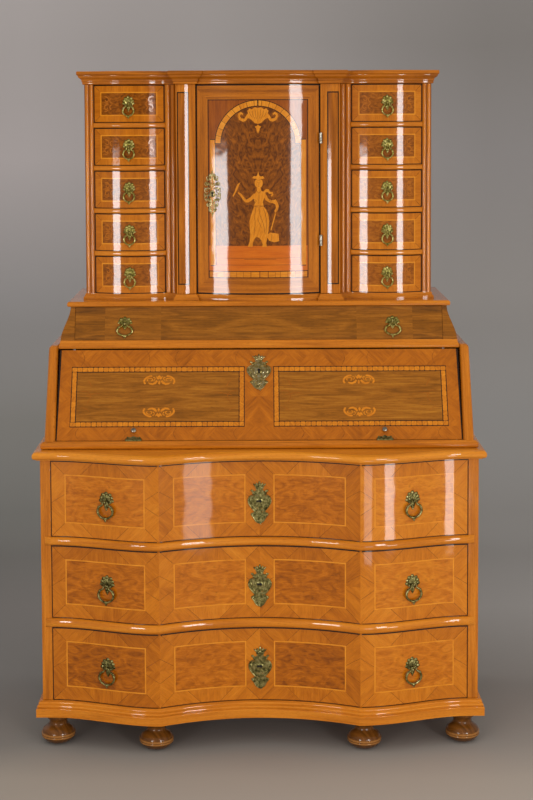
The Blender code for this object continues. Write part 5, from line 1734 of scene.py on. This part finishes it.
world = bpy.data.worlds.new("Studio")
world.use_nodes = True
bpy.context.scene.world = world
tree = world.node_tree
tree.nodes.clear()
rays = addNode(tree, "ShaderNodeLightPath", {}).outputs
seen = rays["Is Camera Ray"]
for kind in ("Is Glossy Ray", "Is Transmission Ray"):
    seen = addNode(tree, "ShaderNodeMath", {0: seen, 1: rays[kind]}, operation="MAXIMUM").outputs[0]
room = {"light": "#fffdf8", "strength": 0.92, "seen": "#88837f"}
dim = addNode(tree, "ShaderNodeBackground", {"Color": linear(room["light"]), "Strength": room["strength"]})
shown = addNode(tree, "ShaderNodeBackground", {"Color": linear(room["seen"]), "Strength": 1})
mixed = addNode(tree, "ShaderNodeMixShader", {0: seen, 1: dim.outputs[0], 2: shown.outputs[0]})
addNode(tree, "ShaderNodeOutputWorld", {"Surface": mixed.outputs[0]})


# Floor and wall are one curved sheet. Stops: metres back along it and up it, and the paint there, which holds
# painted light and shade: darker under and behind the object, lighter high on the left of the wall
studio = {
    "wide": 7.0, "near": -9.0, "turn": 1.7, "radius": 0.8, "high": 6.0, "rough": 0.9, "specular": 0.1,
    # Clouds of the paint: how many to the metre, and how far they shift it
    "cloudScale": 2.2, "cloudShift": 0.10,
    "left": [(-1.0, "#a1988f"), (-0.42, "#9b9288"), (-0.19, "#7f7a75"), (0.27, "#7e7c7a"), (1.06, "#827e7c"),
             (2.2, "#7c7b78"), (2.86, "#898784"), (3.5, "#a5a2a3"), (4.1, "#bdb6b7"), (4.6, "#b3adad")],
    "right": [(-1.0, "#aea49b"), (-0.42, "#a79d93"), (-0.19, "#999089"), (0.27, "#8a8581"), (1.06, "#9f9b99"),
              (2.2, "#8e8b89"), (2.86, "#939190"), (3.5, "#9f9b99"), (4.1, "#979393"), (4.6, "#8b8785")],
}


def studioPaint():
    # Matt paint, clouded a little, that changes from front to back and from left to right; these changes are
    # painted light and shade
    material, tree, shader = newMaterial("studioPaint")
    place = addNode(tree, "ShaderNodeTexCoord", {}).outputs["Object"]
    cloud = addNode(tree, "ShaderNodeTexNoise", {
        "Vector": place, "Scale": studio["cloudScale"], "Detail": 3}).outputs["Fac"]
    axes = addNode(tree, "ShaderNodeSeparateXYZ", {0: place}).outputs
    back = addNode(tree, "ShaderNodeMath", {0: axes["Y"], 1: axes["Z"]})
    back = addNode(tree, "ShaderNodeMath", {0: cloud, 1: studio["cloudShift"], 2: back.outputs[0]},
                   operation="MULTIPLY_ADD")
    near, far = studio["left"][0][0], studio["left"][-1][0]
    back = addNode(tree, "ShaderNodeMapRange", {"Value": back.outputs[0], 1: near, 2: far, 3: 0, 4: 1})
    sides = []
    for side in ("left", "right"):
        stops = [((y - near) / (far - near), colour) for y, colour in studio[side]]
        paint = addNode(tree, "ShaderNodeValToRGB", {"Fac": back.outputs[0]}, stops=stops)
        sides.append(paint.outputs["Color"])
    across = addNode(tree, "ShaderNodeMapRange", {"Value": axes["X"], 1: -1.0, 2: 1.0, 3: 0, 4: 1}).outputs[0]
    colour = addNode(tree, "ShaderNodeMix", {0: across, 6: sides[0], 7: sides[1]}, data_type="RGBA")
    tree.links.new(colour.outputs[2], shader.inputs["Base Color"])
    shader.inputs["Roughness"].default_value = studio["rough"]
    shader.inputs["Specular IOR Level"].default_value = studio["specular"]
    # The sheet is clear from its back, so that the object can be looked at from behind
    rear = addNode(tree, "ShaderNodeNewGeometry", {}).outputs["Backfacing"]
    clear = addNode(tree, "ShaderNodeBsdfTransparent", {}).outputs[0]
    mixed = addNode(tree, "ShaderNodeMixShader", {0: rear, 1: shader.outputs[0], 2: clear})
    tree.links.new(mixed.outputs[0], tree.nodes["Material Output"].inputs["Surface"])
    return material


turn, radius = studio["turn"], studio["radius"]
profile = [(studio["near"], 0), (turn, 0)]
profile += [(turn + radius * sin(pi / 32 * k), radius * (1 - cos(pi / 32 * k))) for k in range(1, 17)]
profile.append((turn + radius, studio["high"]))
bm = bmesh.new()
rows = [[bm.verts.new((x, y, z)) for y, z in profile] for x in (-studio["wide"], studio["wide"])]
for k in range(len(profile) - 1):
    bm.faces.new((rows[0][k], rows[1][k], rows[1][k + 1], rows[0][k + 1]))
mesh = bpy.data.meshes.new("floor")
bm.to_mesh(mesh)
bm.free()
mesh.shade_smooth()
mesh.materials.append(studioPaint())
floor = bpy.data.objects.new("floor", mesh)
bpy.context.collection.objects.link(floor)

scene = bpy.context.scene
scene.view_settings.view_transform = "Standard"
print("scene ready")
